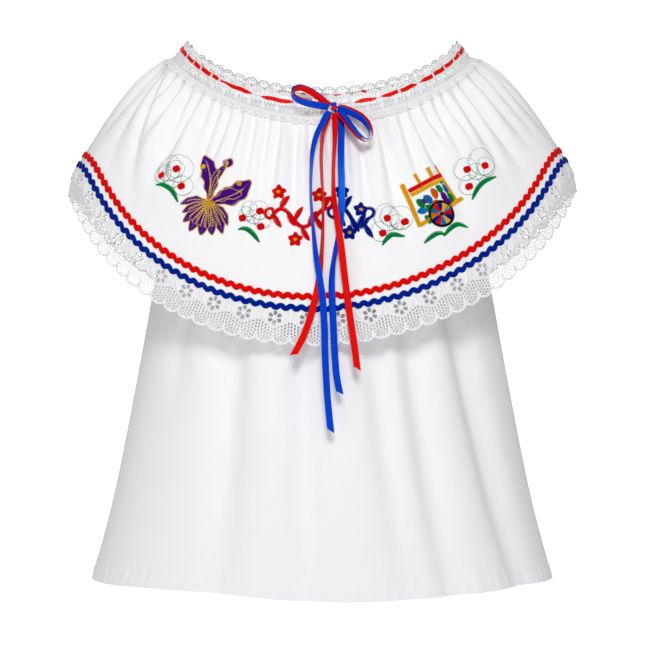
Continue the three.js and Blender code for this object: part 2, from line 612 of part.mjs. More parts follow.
// The four hanging ends. Each row is a place on a ribbon's way down: lift is how far it lies
// before the cloth, and turn is how far it is turned from facing forward, in degrees.
const TAILS = {
  tail_blue_left: {
    colour: BLUE,
    rows: [
      { x: 6.6, z: -60.8, turn: 10, lift: 4.4 },
      { x: 3, z: -66.5, turn: 12, lift: 7.2 },
      { x: 0, z: -73, turn: 16, lift: 9 },
      { x: -5, z: -83, turn: 30, lift: 8 },
      { x: -9, z: -98, turn: 45, lift: 6 },
      { x: -10.5, z: -116, turn: 62, lift: 5 },
      { x: -11, z: -134, turn: 68, lift: 4.6 },
      { x: -10.5, z: -152, turn: 68, lift: 4.6 },
      { x: -8.5, z: -176, turn: 60, lift: 5.4 },
      { x: -6, z: -200, turn: 40, lift: 7.6 },
      { x: -2.5, z: -221, turn: 15, lift: 9 },
      { x: 0.5, z: -244, turn: 5, lift: 8 },
      { x: 2, z: -268, turn: 0, lift: 6 },
      { x: 2.5, z: -290, turn: 0, lift: 4.6 },
      { x: 3.5, z: -312, turn: 0, lift: 3.6 },
      { x: 5, z: -336, turn: 0, lift: 2.6 },
      { x: 8, z: -366, turn: 0, lift: 1.6 },
    ],
  },
  tail_red_left: {
    colour: RED,
    rows: [
      { x: 6.5, z: -62, turn: 20, lift: 0.8 },
      { x: 5, z: -67.5, turn: 30, lift: 2.6 },
      { x: 3, z: -74, turn: 42, lift: 3.8 },
      { x: 0.5, z: -84, turn: 55, lift: 4.2 },
      { x: -1, z: -104, turn: 62, lift: 4.4 },
      { x: -0.5, z: -124, turn: 66, lift: 4.4 },
      { x: 0.5, z: -146, turn: 68, lift: 4.4 },
      { x: 0.5, z: -170, turn: 66, lift: 4.4 },
      { x: -0.5, z: -196, turn: 55, lift: 4.2 },
      { x: -3, z: -221, turn: 30, lift: 4.2 },
      { x: -7, z: -242, turn: 12, lift: 4.4 },
      { x: -12.5, z: -262, turn: 5, lift: 3.8 },
      { x: -19, z: -279, turn: 0, lift: 3.2 },
      { x: -27, z: -294, turn: 0, lift: 2.6 },
    ],
  },
  tail_red_right: {
    colour: RED,
    rows: [
      { x: 12, z: -62, turn: 20, lift: 0.8 },
      { x: 12.2, z: -68.5, turn: 28, lift: 3 },
      { x: 12.2, z: -77, turn: 40, lift: 5.6 },
      { x: 12, z: -90, turn: 52, lift: 6.4 },
      { x: 11, z: -106, turn: 60, lift: 5.4 },
      { x: 10.5, z: -124, turn: 60, lift: 4.6 },
      { x: 11, z: -144, turn: 50, lift: 4.6 },
      { x: 14, z: -166, turn: 30, lift: 6.6 },
      { x: 17.5, z: -188, turn: 12, lift: 8.2 },
      { x: 20.5, z: -214, turn: 8, lift: 7 },
      { x: 24, z: -242, turn: 6, lift: 4.6 },
      { x: 28, z: -270, turn: 4, lift: 3.8 },
      { x: 31.5, z: -294, turn: 0, lift: 3.2 },
      { x: 33, z: -307, turn: 0, lift: 2.8 },
    ],
  },
  tail_blue_right: {
    colour: BLUE,
    rows: [
      { x: 17.4, z: -65, turn: 10, lift: 1 },
      { x: 18, z: -72, turn: 10, lift: 2 },
      { x: 18.2, z: -82, turn: 10, lift: 2.4 },
      { x: 18, z: -96, turn: 12, lift: 2.6 },
      { x: 18, z: -112, turn: 12, lift: 2.6 },
      { x: 18.5, z: -134, turn: 8, lift: 2.6 },
      { x: 18, z: -158, turn: 10, lift: 2.6 },
      { x: 15.5, z: -182, turn: 30, lift: 3.2 },
      { x: 11, z: -203, turn: 50, lift: 4.2 },
      { x: 9, z: -226, turn: 25, lift: 4.4 },
      { x: 10, z: -254, turn: 8, lift: 4.2 },
      { x: 11.5, z: -288, turn: 0, lift: 3.2 },
      { x: 13.5, z: -314, turn: 0, lift: 2.6 },
      { x: 16.5, z: -330, turn: 0, lift: 2.2 },
    ],
  },
};

// The bow's two loops, each a red and a blue ribbon laid together, out from the knot and back.
// ahead is how far a place lies before the knot's centre, and lean is how far the ribbon's width
// tips forward from its upright, in degrees. apart is the space from the middle of one ribbon to
// the other's, and slide moves the blue ribbon across the red one.
const LOOPS = {
  left: {
    upright: vec(0, 0, 1),
    apart: 2,
    slide: 0,
    rows: [
      { x: 6.4, z: -54.2, ahead: -1.4, lean: 20 },
      { x: 0, z: -49.6, ahead: 2.4, lean: 22 },
      { x: -7, z: -44.4, ahead: 3.4, lean: 26 },
      { x: -14, z: -40.2, ahead: 4, lean: 32 },
      { x: -21.5, z: -38, ahead: 4.6, lean: 40 },
      { x: -26.5, z: -39.4, ahead: 6, lean: 48 },
      { x: -28.8, z: -43.4, ahead: 9, lean: 50 },
      { x: -26.6, z: -47.8, ahead: 11.6, lean: 46 },
      { x: -20, z: -51.6, ahead: 12, lean: 36 },
      { x: -11, z: -54.2, ahead: 10, lean: 26 },
      { x: -2, z: -55.4, ahead: 6, lean: 22 },
      { x: 5.4, z: -56.2, ahead: 2.4, lean: 20 },
    ],
  },
  right: {
    upright: vec(0.57, 0, 0.82),
    apart: 2.4,
    slide: -1.2,
    rows: [
      { x: 15.6, z: -56.8, ahead: -0.4, lean: 30 },
      { x: 22, z: -58.6, ahead: 4, lean: 30 },
      { x: 31, z: -62.6, ahead: 8.2, lean: 34 },
      { x: 39.5, z: -68.4, ahead: 11.4, lean: 42 },
      { x: 45.4, z: -77, ahead: 14, lean: 56 },
      { x: 46.4, z: -85.4, ahead: 16.8, lean: 78 },
      { x: 42.4, z: -89.6, ahead: 18.8, lean: 100 },
      { x: 36, z: -86.6, ahead: 18.4, lean: 118 },
      { x: 29.4, z: -79.4, ahead: 15.8, lean: 126 },
      { x: 22.4, z: -69.6, ahead: 11.2, lean: 130 },
      { x: 16, z: -61.4, ahead: 6.8, lean: 132 },
    ],
  },
};

function knotCentre() {
  const azimuth = THREE.MathUtils.radToDeg(Math.asin(KNOT.x / NECK.halfWidth));
  const behind = neckLacePoint(azimuth, NECK_LACE.ribbonUp);
  return vec(KNOT.x, behind.y - KNOT.ahead, KNOT.z);
}

function knotGeometry() {
  const geometry = new THREE.SphereGeometry(1, 8, 6);
  geometry.scale(KNOT.radiusX, KNOT.radiusY, KNOT.radiusZ);
  geometry.translate(...knotCentre().toArray());
  return geometry;
}

// A smooth line through the points of a table's rows, with another column read off along it.
function smoothRun(rows, toPoint, name, count) {
  const curve = new THREE.CatmullRomCurve3(rows.map(toPoint), false, "centripetal");
  const places = steps(0, 1, count);
  return {
    line: places.map((share) => curve.getPoint(share)),
    values: places.map((share) => between(rows.map((row) => row[name]), share * (rows.length - 1))),
  };
}

function tailGeometry({ rows }) {
  const knotDepth = knotCentre().y;
  const toPoint = ({ x, z, lift }) => vec(x, Math.min(frontDepthAt(z), knotDepth) - lift, z);
  const { line, values } = smoothRun(rows, toPoint, "turn", TAIL_STEPS);
  const widthwise = values.map((turn) => vec(Math.cos(rad(turn)), -Math.sin(rad(turn)), 0));
  return band(line, widthwise, RIBBON.width, RIBBON.wall);
}

function loopGeometry({ rows, upright }, offset, slide) {
  const knot = knotCentre();
  const toPoint = ({ x, z, ahead }) => vec(x, knot.y - ahead, z);
  const { line, values } = smoothRun(rows, toPoint, "lean", LOOP_STEPS);
  const widthwise = values.map((lean) => {
    return upright.clone().multiplyScalar(Math.cos(rad(lean))).add(vec(0, -Math.sin(rad(lean)), 0));
  });
  const shifted = line.map((point, i) => {
    const along = line[Math.min(i + 1, line.length - 1)].clone().sub(line[Math.max(i - 1, 0)]).normalize();
    const across = widthwise[i].clone().addScaledVector(along, -widthwise[i].dot(along)).normalize();
    const through = across.clone().cross(along);
    return point.clone().addScaledVector(through, offset).addScaledVector(across, slide);
  });
  return band(shifted, widthwise, RIBBON.width, RIBBON.wall);
}

// ---------------------------------------------------------------- the blouse

const blouse = new THREE.Group();

function add(name, geometry, look) {
  const mesh = new THREE.Mesh(geometry, new THREE.MeshStandardMaterial(look));
  mesh.name = name;
  blouse.add(mesh);
}

for (const [side, panel] of Object.entries(PANELS)) {
  add("body_" + side, bodyPanel(panel), WHITE);
  add("flounce_" + side, flouncePanel(panel), WHITE);
  add("flounce_lace_" + side, hemLacePanel(panel), WHITE);
  add("neck_lace_" + side, neckLacePanel(panel), WHITE);
  add("rickrack_red_" + side, rickrackRow(panel, RICKRACK_ROWS.red), RED);
  add("rickrack_blue_" + side, rickrackRow(panel, RICKRACK_ROWS.blue), BLUE);
  add("neck_ribbon_" + side, neckRibbon(panel), RED);
}
for (const [side, loop] of Object.entries(LOOPS)) {
  add("bow_" + side + "_red", loopGeometry(loop, loop.apart / 2, 0), RED);
  add("bow_" + side + "_blue", loopGeometry(loop, -loop.apart / 2, loop.slide), BLUE);
}
for (const [name, tail] of Object.entries(TAILS)) add(name, tailGeometry(tail), tail.colour);
add("bow_knot", knotGeometry(), BLUE);

export default blouse;
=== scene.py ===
# %% [markdown]
# # An embroidered off-the-shoulder blouse
# The blouse is built cloth by cloth, as it is sewn: an A-line body, a deep gathered flounce, a
# scalloped lace along the flounce with two rows of rickrack over the join, and a lace neckline
# with a ribbon run through it and tied in a bow. The solids of the frame give every piece its
# place, and each cloth here is a thin shell on the same form.

# %% Load the frame
import math

import bpy
import numpy as np
from mathutils.geometry import delaunay_2d_cdt
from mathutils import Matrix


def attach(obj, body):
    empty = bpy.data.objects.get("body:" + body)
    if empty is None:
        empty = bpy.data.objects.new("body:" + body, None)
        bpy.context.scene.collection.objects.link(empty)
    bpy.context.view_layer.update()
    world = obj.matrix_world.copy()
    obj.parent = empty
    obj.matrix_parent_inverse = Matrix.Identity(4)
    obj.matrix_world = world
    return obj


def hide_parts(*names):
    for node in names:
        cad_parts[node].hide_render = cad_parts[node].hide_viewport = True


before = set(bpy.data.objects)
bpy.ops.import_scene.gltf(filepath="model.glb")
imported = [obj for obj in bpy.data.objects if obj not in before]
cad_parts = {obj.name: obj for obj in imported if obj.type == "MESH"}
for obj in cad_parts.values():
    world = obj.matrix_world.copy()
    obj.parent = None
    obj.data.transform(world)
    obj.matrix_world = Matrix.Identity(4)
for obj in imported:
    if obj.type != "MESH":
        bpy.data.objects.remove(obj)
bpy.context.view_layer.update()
MM = 0.001

# %% [markdown]
# ## The camera
# It stands level, two and a half metres in front, with a long lens, so the blouse is seen
# almost flat on and its hem is not stretched. It comes first because the ribbons that hang from
# the bow are placed by what it sees.

# %% Camera
CAMERA_SIDE, CAMERA_DISTANCE, CAMERA_HEIGHT = 0.0002, 2.5, -0.2635
VIEW_WIDTH = 0.645
SENSOR_WIDTH = 36
bpy.ops.object.camera_add(
    location=(CAMERA_SIDE, -CAMERA_DISTANCE, CAMERA_HEIGHT), rotation=(math.pi / 2, 0, 0)
)
camera = bpy.context.object
camera.name = "camera"
camera.data.sensor_width = SENSOR_WIDTH
camera.data.lens = SENSOR_WIDTH * CAMERA_DISTANCE / VIEW_WIDTH
bpy.context.scene.camera = camera
print("lens", round(camera.data.lens, 1), "mm")

# %% [markdown]
# ## A few helpers
# Every surface of the blouse is a formula of two numbers: an azimuth round the body in degrees,
# 0 at the centre front and 90 at the wearer's left side, and a place down or up. Written with
# arrays, one call gives a whole sheet of points. Lengths are in millimetres, as on a paper
# pattern, and become metres when a mesh is made.
# Cloth could also be pulled into shape by hand from a grid, or draped by a simulation. Formulas
# are used because the layers lie within a millimetre of each other, and each one has to know
# where the next one is.

# %% Helpers for numbers
def lerp(start, end, share):
    return start + (end - start) * share


def smoothstep(x, low, high):
    t = np.clip((x - low) / (high - low), 0, 1)
    return t * t * (3 - 2 * t)


def unit(vectors):
    return vectors / np.linalg.norm(vectors, axis=-1, keepdims=True)


def outward(azimuth):
    a = np.radians(azimuth)
    return np.stack([np.sin(a), -np.cos(a), np.zeros_like(a)], -1)


def valley(azimuth, at, width):
    turn = (azimuth - at + 180) % 360 - 180
    return np.exp(-((turn / width) ** 2))


# %% Helpers for meshes
def new_piece(name, points, faces, uv=None, crease=50):
    """A mesh object from points in millimetres and faces that all have as many corners."""
    faces = np.asarray(faces, dtype=np.int32)
    count, corners = faces.shape
    mesh = bpy.data.meshes.new(name)
    mesh.vertices.add(len(points))
    mesh.vertices.foreach_set("co", (np.asarray(points) * MM).astype(np.float32).ravel())
    mesh.loops.add(count * corners)
    mesh.loops.foreach_set("vertex_index", faces.ravel())
    mesh.polygons.add(count)
    mesh.polygons.foreach_set("loop_start", np.arange(0, count * corners, corners, dtype=np.int32))
    if uv is not None:
        layer = mesh.uv_layers.new(name="UVMap")
        corner_uv = np.asarray(uv)[faces.ravel()] * MM
        layer.data.foreach_set("uv", corner_uv.astype(np.float32).ravel())
    mesh.update(calc_edges=True)
    mesh.validate()
    mesh.shade_smooth()
    mesh.set_sharp_from_angle(angle=math.radians(crease))
    piece = bpy.data.objects.new(name, mesh)
    bpy.context.scene.collection.objects.link(piece)
    return piece


def finish_piece(piece, material, slot, *replaced):
    """Gives a piece its material and its place in the frame."""
    piece.data.materials.append(material)
    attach(piece, "root")
    if replaced:
        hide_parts(*replaced)
    print(piece.name, len(piece.data.polygons), "faces")


def grid_faces(rows, columns):
    index = np.arange(rows * columns).reshape(rows, columns)
    corners = [index[:-1, :-1], index[1:, :-1], index[1:, 1:], index[:-1, 1:]]
    return index, np.stack(corners, -1).reshape(-1, 4)


def shell(outer, inner):
    """Points and faces of the closed wall between two grids, rows down and columns round."""
    rows, columns = outer.shape[:2]
    index, front = grid_faces(rows, columns)
    edge = np.concatenate([index[0], index[1:, -1], index[-1, -2::-1], index[-2:0:-1, 0]])
    ahead = np.roll(edge, -1)
    count = rows * columns
    rim = np.stack([edge, ahead, ahead + count, edge + count], -1)
    points = np.concatenate([outer.reshape(-1, 3), inner.reshape(-1, 3)])
    return points, np.concatenate([front, front[:, ::-1] + count, rim])


def grid_normals(points):
    fall = np.gradient(points, axis=0)
    across = np.gradient(points, axis=1)
    return unit(np.cross(fall, across))


# %% [markdown]
# ## The forms
# The neck is an oval drawn in by its ribbon, and dips at the front and the back. The flounce
# falls from it to a hem that is level round the shoulders and then drops to the centre. Its
# gathers are soft valleys, each with its own lean, depth and length, given one by one, because
# even waves look like a curtain and not like drawn cotton.

# %% Sizes of the blouse
DIP_POWER = 1.55
NECK_WIDTH, NECK_DEPTH = 150, 95
NECK_FRONT, NECK_BACK = 68, 43
FLOUNCE_WIDTH, FLOUNCE_FRONT, FLOUNCE_BACK = 243.5, 135, 130
HEM_SIDE, HEM_FRONT, HEM_BACK = 103, 250, 228
FALL_START, FALL_ROUNDING = 0.3, 0.11
HEM_TILT, HEM_RIPPLE = 3.6, 1.5
BULGE, BULGE_SIDE_POWER, BULGE_CENTRE_POWER = 12, 0.6, 0.85
# How much wider a gather grows on its way down.
GATHER_SPREAD = 1.1
HEM_LACE_WIDTH, HEM_LACE_REPEATS = 36, 24
NECK_LACE_WIDTH, NECK_LACE_SCALLOPS = 25, 28
NECK_SIDE_LEAN, NECK_CENTRE_LEAN = 16, 7
RIBBON_UP, RIBBON_WIDTH = 15.5, 6.5
BODY_SIDE, BODY_FRONT, BODY_BACK, BODY_HEM = 518, 530, 526, 12.5
ARMHOLE_ANGLE, ARMHOLE_DEPTH, ARMHOLE_CURVE = 58, 0.29, 3

# Each gather of the flounce: where it leaves the neck and where it would meet the hem, in
# degrees, its depth, half its width at the neck in degrees, and how far down it dies out.
FLOUNCE_FOLDS = np.array([
    (-85, -74, 4.5, 3, 0.9),
    (-80, -63, 6, 3.4, 1),
    (-76, -49, 5, 2.2, 0.97),
    (-67, -60, 4.5, 2, 0.35),
    (-61, -57, 6, 2.2, 0.55),
    (-55, -47.5, 6, 2, 0.75),
    (-49.5, -48.5, 6, 1.9, 0.75),
    (-44.5, -37, 5, 1.7, 0.5),
    (-40, -33, 5.5, 1.9, 0.65),
    (-35, -31, 5, 1.6, 0.5),
    (-30.5, -26, 4.5, 1.7, 0.45),
    (-25, -20, 5, 1.8, 0.65),
    (-20, -15.5, 5, 1.7, 0.6),
    (-15.5, -13.5, 4.5, 1.6, 0.85),
    (-9.5, -6.5, 5, 1.8, 0.75),
    (-4, -3.5, 4, 1.7, 0.6),
    (2.5, 3, 3.5, 1.8, 0.6),
    (8, 7, 4, 1.8, 0.6),
    (13, 11, 4.5, 1.8, 0.75),
    (17, 14.5, 3.5, 1.4, 0.35),
    (20.5, 19.5, 5.5, 1.8, 0.9),
    (24.5, 22.5, 4, 1.5, 0.4),
    (29, 26, 5, 1.7, 0.55),
    (33.5, 38.5, 6, 1.9, 0.97),
    (38.5, 42, 5, 1.7, 0.4),
    (44, 41, 5, 1.8, 0.55),
    (48.5, 46.5, 5, 1.7, 0.4),
    (54, 52, 5.5, 1.9, 0.75),
    (59, 59.5, 6, 2.1, 0.97),
    (67, 66.5, 6, 2.6, 0.9),
    (75, 71, 5, 2.8, 0.9),
    (84, 77, 4.5, 3, 0.9),
    (96, 104, 4.5, 3, 0.9),
    (104, 112, 6, 2.8, 0.95),
    (111, 116, 4.5, 2, 0.4),
    (117, 124, 5.5, 2.1, 0.75),
    (123, 127, 4.5, 1.8, 0.45),
    (129, 137, 6, 2, 0.9),
    (135, 139, 4.5, 1.7, 0.4),
    (140.5, 145, 5, 1.8, 0.6),
    (146, 149, 5, 1.7, 0.5),
    (151.5, 156, 5.5, 1.8, 0.8),
    (157, 159, 4, 1.6, 0.4),
    (162.5, 165, 5, 1.8, 0.65),
    (168, 169, 4.5, 1.6, 0.5),
    (174, 175.5, 5.5, 1.8, 0.85),
    (180, 179.5, 4, 1.7, 0.4),
    (185.5, 185, 5, 1.8, 0.7),
    (191, 189, 4.5, 1.6, 0.45),
    (196.5, 194, 5.5, 1.8, 0.8),
    (202.5, 200, 4.5, 1.7, 0.5),
    (208, 203, 5, 1.8, 0.6),
    (214, 209, 6, 1.9, 0.9),
    (220, 215, 4.5, 1.7, 0.4),
    (225.5, 219, 5, 1.8, 0.65),
    (231.5, 226, 5.5, 2, 0.85),
    (238, 233, 4.5, 1.9, 0.45),
    (245, 240, 6, 2.2, 0.9),
    (252.5, 246, 4.5, 2.4, 0.6),
    (259, 252, 5.5, 2.8, 0.95),
    (266, 260, 4.5, 3, 0.9),
])


# %% The neck and the flounce's hem
def dip(azimuth, side, front, back):
    c = np.cos(np.radians(azimuth))
    return side + (np.where(c > 0, front, back) - side) * np.abs(c) ** DIP_POWER


def ring_point(azimuth, half_width, front, back, z):
    away = outward(azimuth)
    depth = np.where(away[..., 1] < 0, front, back)
    return np.stack([away[..., 0] * half_width, away[..., 1] * depth, z + 0 * depth], -1)


def neck_point(azimuth, out=0):
    z = -dip(azimuth, 0, NECK_FRONT, NECK_BACK)
    return ring_point(azimuth, NECK_WIDTH, NECK_DEPTH, NECK_DEPTH, z) + outward(azimuth) * out


def hem_fall(azimuth):
    def past(cosine):
        return cosine - FALL_START + np.hypot(cosine - FALL_START, FALL_ROUNDING)

    here = past(np.abs(np.cos(np.radians(azimuth))))
    return (here - past(0)) / (past(1) - past(0))


def flounce_hem_point(azimuth):
    a = np.radians(azimuth)
    centre = np.where(np.cos(a) > 0, HEM_FRONT, HEM_BACK)
    skew = HEM_TILT * np.sin(a) + HEM_RIPPLE * np.sin(3 * a)
    z = skew - lerp(HEM_SIDE, centre, hem_fall(azimuth))
    return ring_point(azimuth, FLOUNCE_WIDTH, FLOUNCE_FRONT, FLOUNCE_BACK, z)


# %% The flounce's surface
def flounce_fold(azimuth, down):
    sunk = 0
    for neck, hem, depth, width, ends in FLOUNCE_FOLDS:
        fade = smoothstep(down, 0, 0.1) * (1 - smoothstep(down, 0.25 * ends, ends))
        reach = width * (1 + GATHER_SPREAD * down)
        sunk = sunk + depth * fade * valley(azimuth, lerp(neck, hem, down), reach)
    return sunk


def flounce_envelope(azimuth, down, sunk=0):
    azimuth, down = np.broadcast_arrays(np.asarray(azimuth, float), np.asarray(down, float))
    start = neck_point(azimuth, 0.9)
    chord = flounce_hem_point(azimuth) - start
    along = unit(chord)
    away = outward(azimuth)
    away = unit(away - along * np.sum(away * along, -1, keepdims=True))
    power = lerp(BULGE_SIDE_POWER, BULGE_CENTRE_POWER, np.cos(np.radians(azimuth)) ** 2)
    bulge = BULGE * np.sin(np.pi * np.maximum(down, 0) ** power)
    return start + chord * down[..., None] + away * (bulge - sunk)[..., None]


def flounce_point(azimuth, down):
    return flounce_envelope(azimuth, down, flounce_fold(azimuth, down))


# %% The lace below the hem
def square_to(direction, along, azimuth):
    share = smoothstep(np.abs(np.cos(np.radians(azimuth))), 0, 0.2)
    lean = np.sum(direction * along, -1) * share
    return direction - along * lean[..., None]


def hem_point(azimuth, millimetres):
    """A point square to the flounce's hem: down on the lace, or up the flounce if negative."""
    azimuth, millimetres = np.broadcast_arrays(
        np.asarray(azimuth, float), np.asarray(millimetres, float)
    )
    length = np.linalg.norm(flounce_hem_point(azimuth) - neck_point(azimuth), axis=-1)
    end = flounce_point(azimuth, 1.0)
    along = unit(flounce_hem_point(azimuth + 0.5) - flounce_hem_point(azimuth - 0.5))
    fall = unit(end - flounce_point(azimuth, 1 - 2 / length))
    square = square_to(fall, along, azimuth)
    size = np.linalg.norm(square, axis=-1)
    on_flounce = flounce_point(azimuth, 1 + np.minimum(millimetres, 0) / (length * size))
    plumb = unit(square_to(np.broadcast_to([0.0, 0.0, -1.0], end.shape), along, azimuth))
    share = 0.5 * millimetres / HEM_LACE_WIDTH
    hanging = lerp(square / size[..., None], plumb, share[..., None])
    on_lace = end + hanging * millimetres[..., None]
    return np.where(millimetres[..., None] <= 0, on_flounce, on_lace)


def surface_normal(surface, azimuth, place, step):
    across = surface(azimuth + 0.05, place) - surface(azimuth - 0.05, place)
    fall = surface(azimuth, place + step) - surface(azimuth, place - step)
    return unit(np.cross(fall, across))


def even_azimuths(curve, start, end):
    """The length of a line round the blouse, and the azimuths at shares of that length."""
    fine = np.linspace(start, end, 1441)
    steps = np.linalg.norm(np.diff(curve(fine), axis=0), axis=1)
    lengths = np.concatenate([[0], np.cumsum(steps)])
    return lengths[-1], lambda share: np.interp(share, lengths / lengths[-1], fine)


hem_length, _ = even_azimuths(lambda a: hem_point(a, 0), -180, 180)
print("hem lace runs", round(hem_length), "mm round")

# %% [markdown]
# ## Ribbons
# A satin ribbon is a flat band that bends easily along its length and hardly at all across it.
# So each one is a smooth line through given points, with the direction of its width at
# each point. Turning that direction along the line gives the twist of a hanging end.
# A curve with a flat bevel could do much the same. The mesh is made directly because the ends are
# cut askew, and the satin needs a map along and across the ribbon.

# %% A smooth line through points
def smooth_run(points, values, count):
    """A centripetal Catmull-Rom line through points, with other values read off along it."""
    points = np.asarray(points, float)
    ends = [2 * points[0] - points[1], *points, 2 * points[-1] - points[-2]]
    padded = np.array(ends)
    place = np.linspace(0, len(points) - 1, count + 1)
    i = np.minimum(place.astype(int), len(points) - 2)
    t = (place - i)[:, None]
    x0, x1, x2, x3 = (padded[i + k] for k in range(4))
    steps = ((x0, x1), (x1, x2), (x2, x3))
    d0, d1, d2 = (np.linalg.norm(b - a, axis=1, keepdims=True) ** 0.5 for a, b in steps)
    leave = ((x1 - x0) / d0 - (x2 - x0) / (d0 + d1) + (x2 - x1) / d1) * d1
    arrive = ((x2 - x1) / d1 - (x3 - x1) / (d1 + d2) + (x3 - x2) / d2) * d1
    line = x1 + leave * t + (3 * (x2 - x1) - 2 * leave - arrive) * t**2
    line = line + (2 * (x1 - x2) + leave + arrive) * t**3
    return line, np.interp(place, np.arange(len(points)), values)


def along_of(line):
    ahead = np.concatenate([line[1:], line[-1:]])
    behind = np.concatenate([line[:1], line[:-1]])
    return unit(ahead - behind)


def ribbon_mesh(name, line, widthwise, width=RIBBON_WIDTH, wall=0.4, cup=0.12, slant=(0, 0)):
    """A flat satin band with thin edges. cup bends it across, and slant cuts its ends askew."""
    along = along_of(line)
    across = unit(widthwise - along * np.sum(widthwise * along, -1, keepdims=True))
    through = np.cross(across, along)
    widths = np.broadcast_to(width, len(line))[:, None, None]
    shares = np.array([-1, -0.94, -0.5, 0, 0.5, 0.94, 1]) / 2
    thick = np.array([0.35, 1, 1, 1, 1, 1, 0.35]) * wall / 2
    bend = cup * (1 - (2 * shares) ** 2)
    reach = np.zeros((len(line), len(shares), 1))
    reach[0, :, 0] = slant[0] * shares * 2
    reach[-1, :, 0] = slant[1] * shares * 2
    middle = line[:, None] + across[:, None] * shares[None, :, None] * widths
    middle = middle + along[:, None] * reach
    lift = through[:, None]
    outer = middle + lift * (bend + thick)[None, :, None]
    inner = middle + lift * (bend - thick)[None, :, None]
    points, faces = shell(outer, inner)
    length = np.concatenate([[0], np.cumsum(np.linalg.norm(np.diff(line, axis=0), axis=1))])
    u, v = np.meshgrid(shares * RIBBON_WIDTH, length)
    uv = np.tile(np.stack([u.ravel(), v.ravel()], -1), (2, 1))
    return new_piece(name, points, outside_out(points, faces), uv, crease=60)


def outside_out(points, faces):
    """The faces the right way round, whichever way the wall was made."""
    a, b, c = (points[faces[:, k]] for k in range(3))
    d = points[faces[:, -1]]
    volume = np.sum(a * np.cross(b, c)) + np.sum(a * np.cross(c, d))
    return faces if volume > 0 else faces[:, ::-1]


# %% [markdown]
# ### Satin
# Satin is bright where it turns to the light and dark where it turns away. The shine of a dyed
# satin takes the dye's colour, so the gleam is tinted too. The finish is smooth, with a fine
# grain that runs along the ribbon.
# An anisotropic shine would draw a longer streak. At this size a tinted gleam is enough.

# %% Node helpers
def new_material(name, colour, roughness):
    material = bpy.data.materials.new(name)
    material.use_nodes = True
    tree = material.node_tree
    shader = tree.nodes["Principled BSDF"]
    shader.inputs["Base Color"].default_value = (*colour, 1)
    shader.inputs["Roughness"].default_value = roughness
    return material, tree, shader


def node(tree, kind, **values):
    """A node with its settings."""
    made = tree.nodes.new(kind)
    for name, value in values.items():
        setattr(made, name, value)
    return made


def maths(tree, operation, first, second=None):
    made = node(tree, "ShaderNodeMath", operation=operation)
    for socket, value in zip(made.inputs, (first, second)):
        if isinstance(value, (int, float)):
            socket.default_value = value
        elif value is not None:
            tree.links.new(value, socket)
    return made.outputs[0]


def uv_parts(tree):
    """The two lengths along the cloth, in metres."""
    where = node(tree, "ShaderNodeUVMap", uv_map="UVMap")
    parts = node(tree, "ShaderNodeSeparateXYZ")
    tree.links.new(where.outputs["UV"], parts.inputs[0])
    return where.outputs["UV"], parts.outputs["X"], parts.outputs["Y"]


def wave(tree, length, period):
    return maths(tree, "SINE", maths(tree, "MULTIPLY", length, 2 * math.pi / period))


def noise(tree, vector, scales, detail=2.0):
    """Noise over the cloth, stretched by how many cells it has in a metre each way."""
    mapping = node(tree, "ShaderNodeMapping")
    mapping.inputs["Scale"].default_value = scales
    made = node(tree, "ShaderNodeTexNoise")
    made.inputs["Scale"].default_value = 1
    made.inputs["Detail"].default_value = detail
    tree.links.new(vector, mapping.inputs["Vector"])
    tree.links.new(mapping.outputs[0], made.inputs["Vector"])
    return made.outputs["Fac"]


def add_bump(tree, shader, height, distance, strength=1.0):
    bump = node(tree, "ShaderNodeBump")
    bump.inputs["Strength"].default_value = strength
    bump.inputs["Distance"].default_value = distance
    tree.links.new(height, bump.inputs["Height"])
    tree.links.new(bump.outputs[0], shader.inputs["Normal"])


def tint(tree, shader, share, dark, light):
    ramp = node(tree, "ShaderNodeMix", data_type="RGBA")
    ramp.inputs[6].default_value = (*dark, 1)
    ramp.inputs[7].default_value = (*light, 1)
    tree.links.new(share, ramp.inputs[0])
    tree.links.new(ramp.outputs[2], shader.inputs["Base Color"])


def satin(name, dark, light, gleam):
    material, tree, shader = new_material(name, light, 0.34)
    uv, _, _ = uv_parts(tree)
    grain = noise(tree, uv, (5200, 90, 1))
    tint(tree, shader, grain, dark, light)
    add_bump(tree, shader, grain, 0.00012, 0.6)
    shader.inputs["Specular IOR Level"].default_value = 1.0
    shader.inputs["Specular Tint"].default_value = (*gleam, 1)
    return material


SATINS = {
    "red": satin("red_satin", (0.6, 0.0, 0.0), (0.85, 0.002, 0.002), (1.0, 0.1, 0.08)),
    "blue": satin("blue_satin", (0.0, 0.014, 0.34), (0.0, 0.05, 0.74), (0.05, 0.4, 1.0)),
}

# %% [markdown]
# ### The four hanging ends
# Two red and two blue ends hang from the knot in front of the flounce. Each row of a table is a
# place on a ribbon's way down: how far to the side it is, its height, how far it is turned from
# facing forward, and how far it lies before the cloth. The lines are the ones of the solids, so
# the ribbons stay where the frame has them.
# A simulation could hang them, but not each in its own place.

# %% The cloth's centre line, which the ribbons hang before
KNOT_X, KNOT_Z, KNOT_AHEAD = 10.7, -56.5, 6


def neck_lace_point(azimuth, up):
    """A point of the neck lace, so many millimetres above the neck seam."""
    lean = -dip(azimuth, NECK_SIDE_LEAN, NECK_CENTRE_LEAN, NECK_CENTRE_LEAN) / NECK_LACE_WIDTH
    rise = np.sqrt(1 - lean * lean) * up
    return neck_point(azimuth, (lean * up)[..., None]) + np.stack([0 * rise, 0 * rise, rise], -1)


def front_depth_at(z):
    flounce = flounce_envelope(0.0, np.linspace(0.02, 1, 61))
    lace = hem_point(0.0, np.linspace(0, HEM_LACE_WIDTH, 13))
    line = np.concatenate([flounce, lace])
    below = line[:, 2] <= z
    return line[np.argmax(below), 1] if below.any() else line[-1, 1]


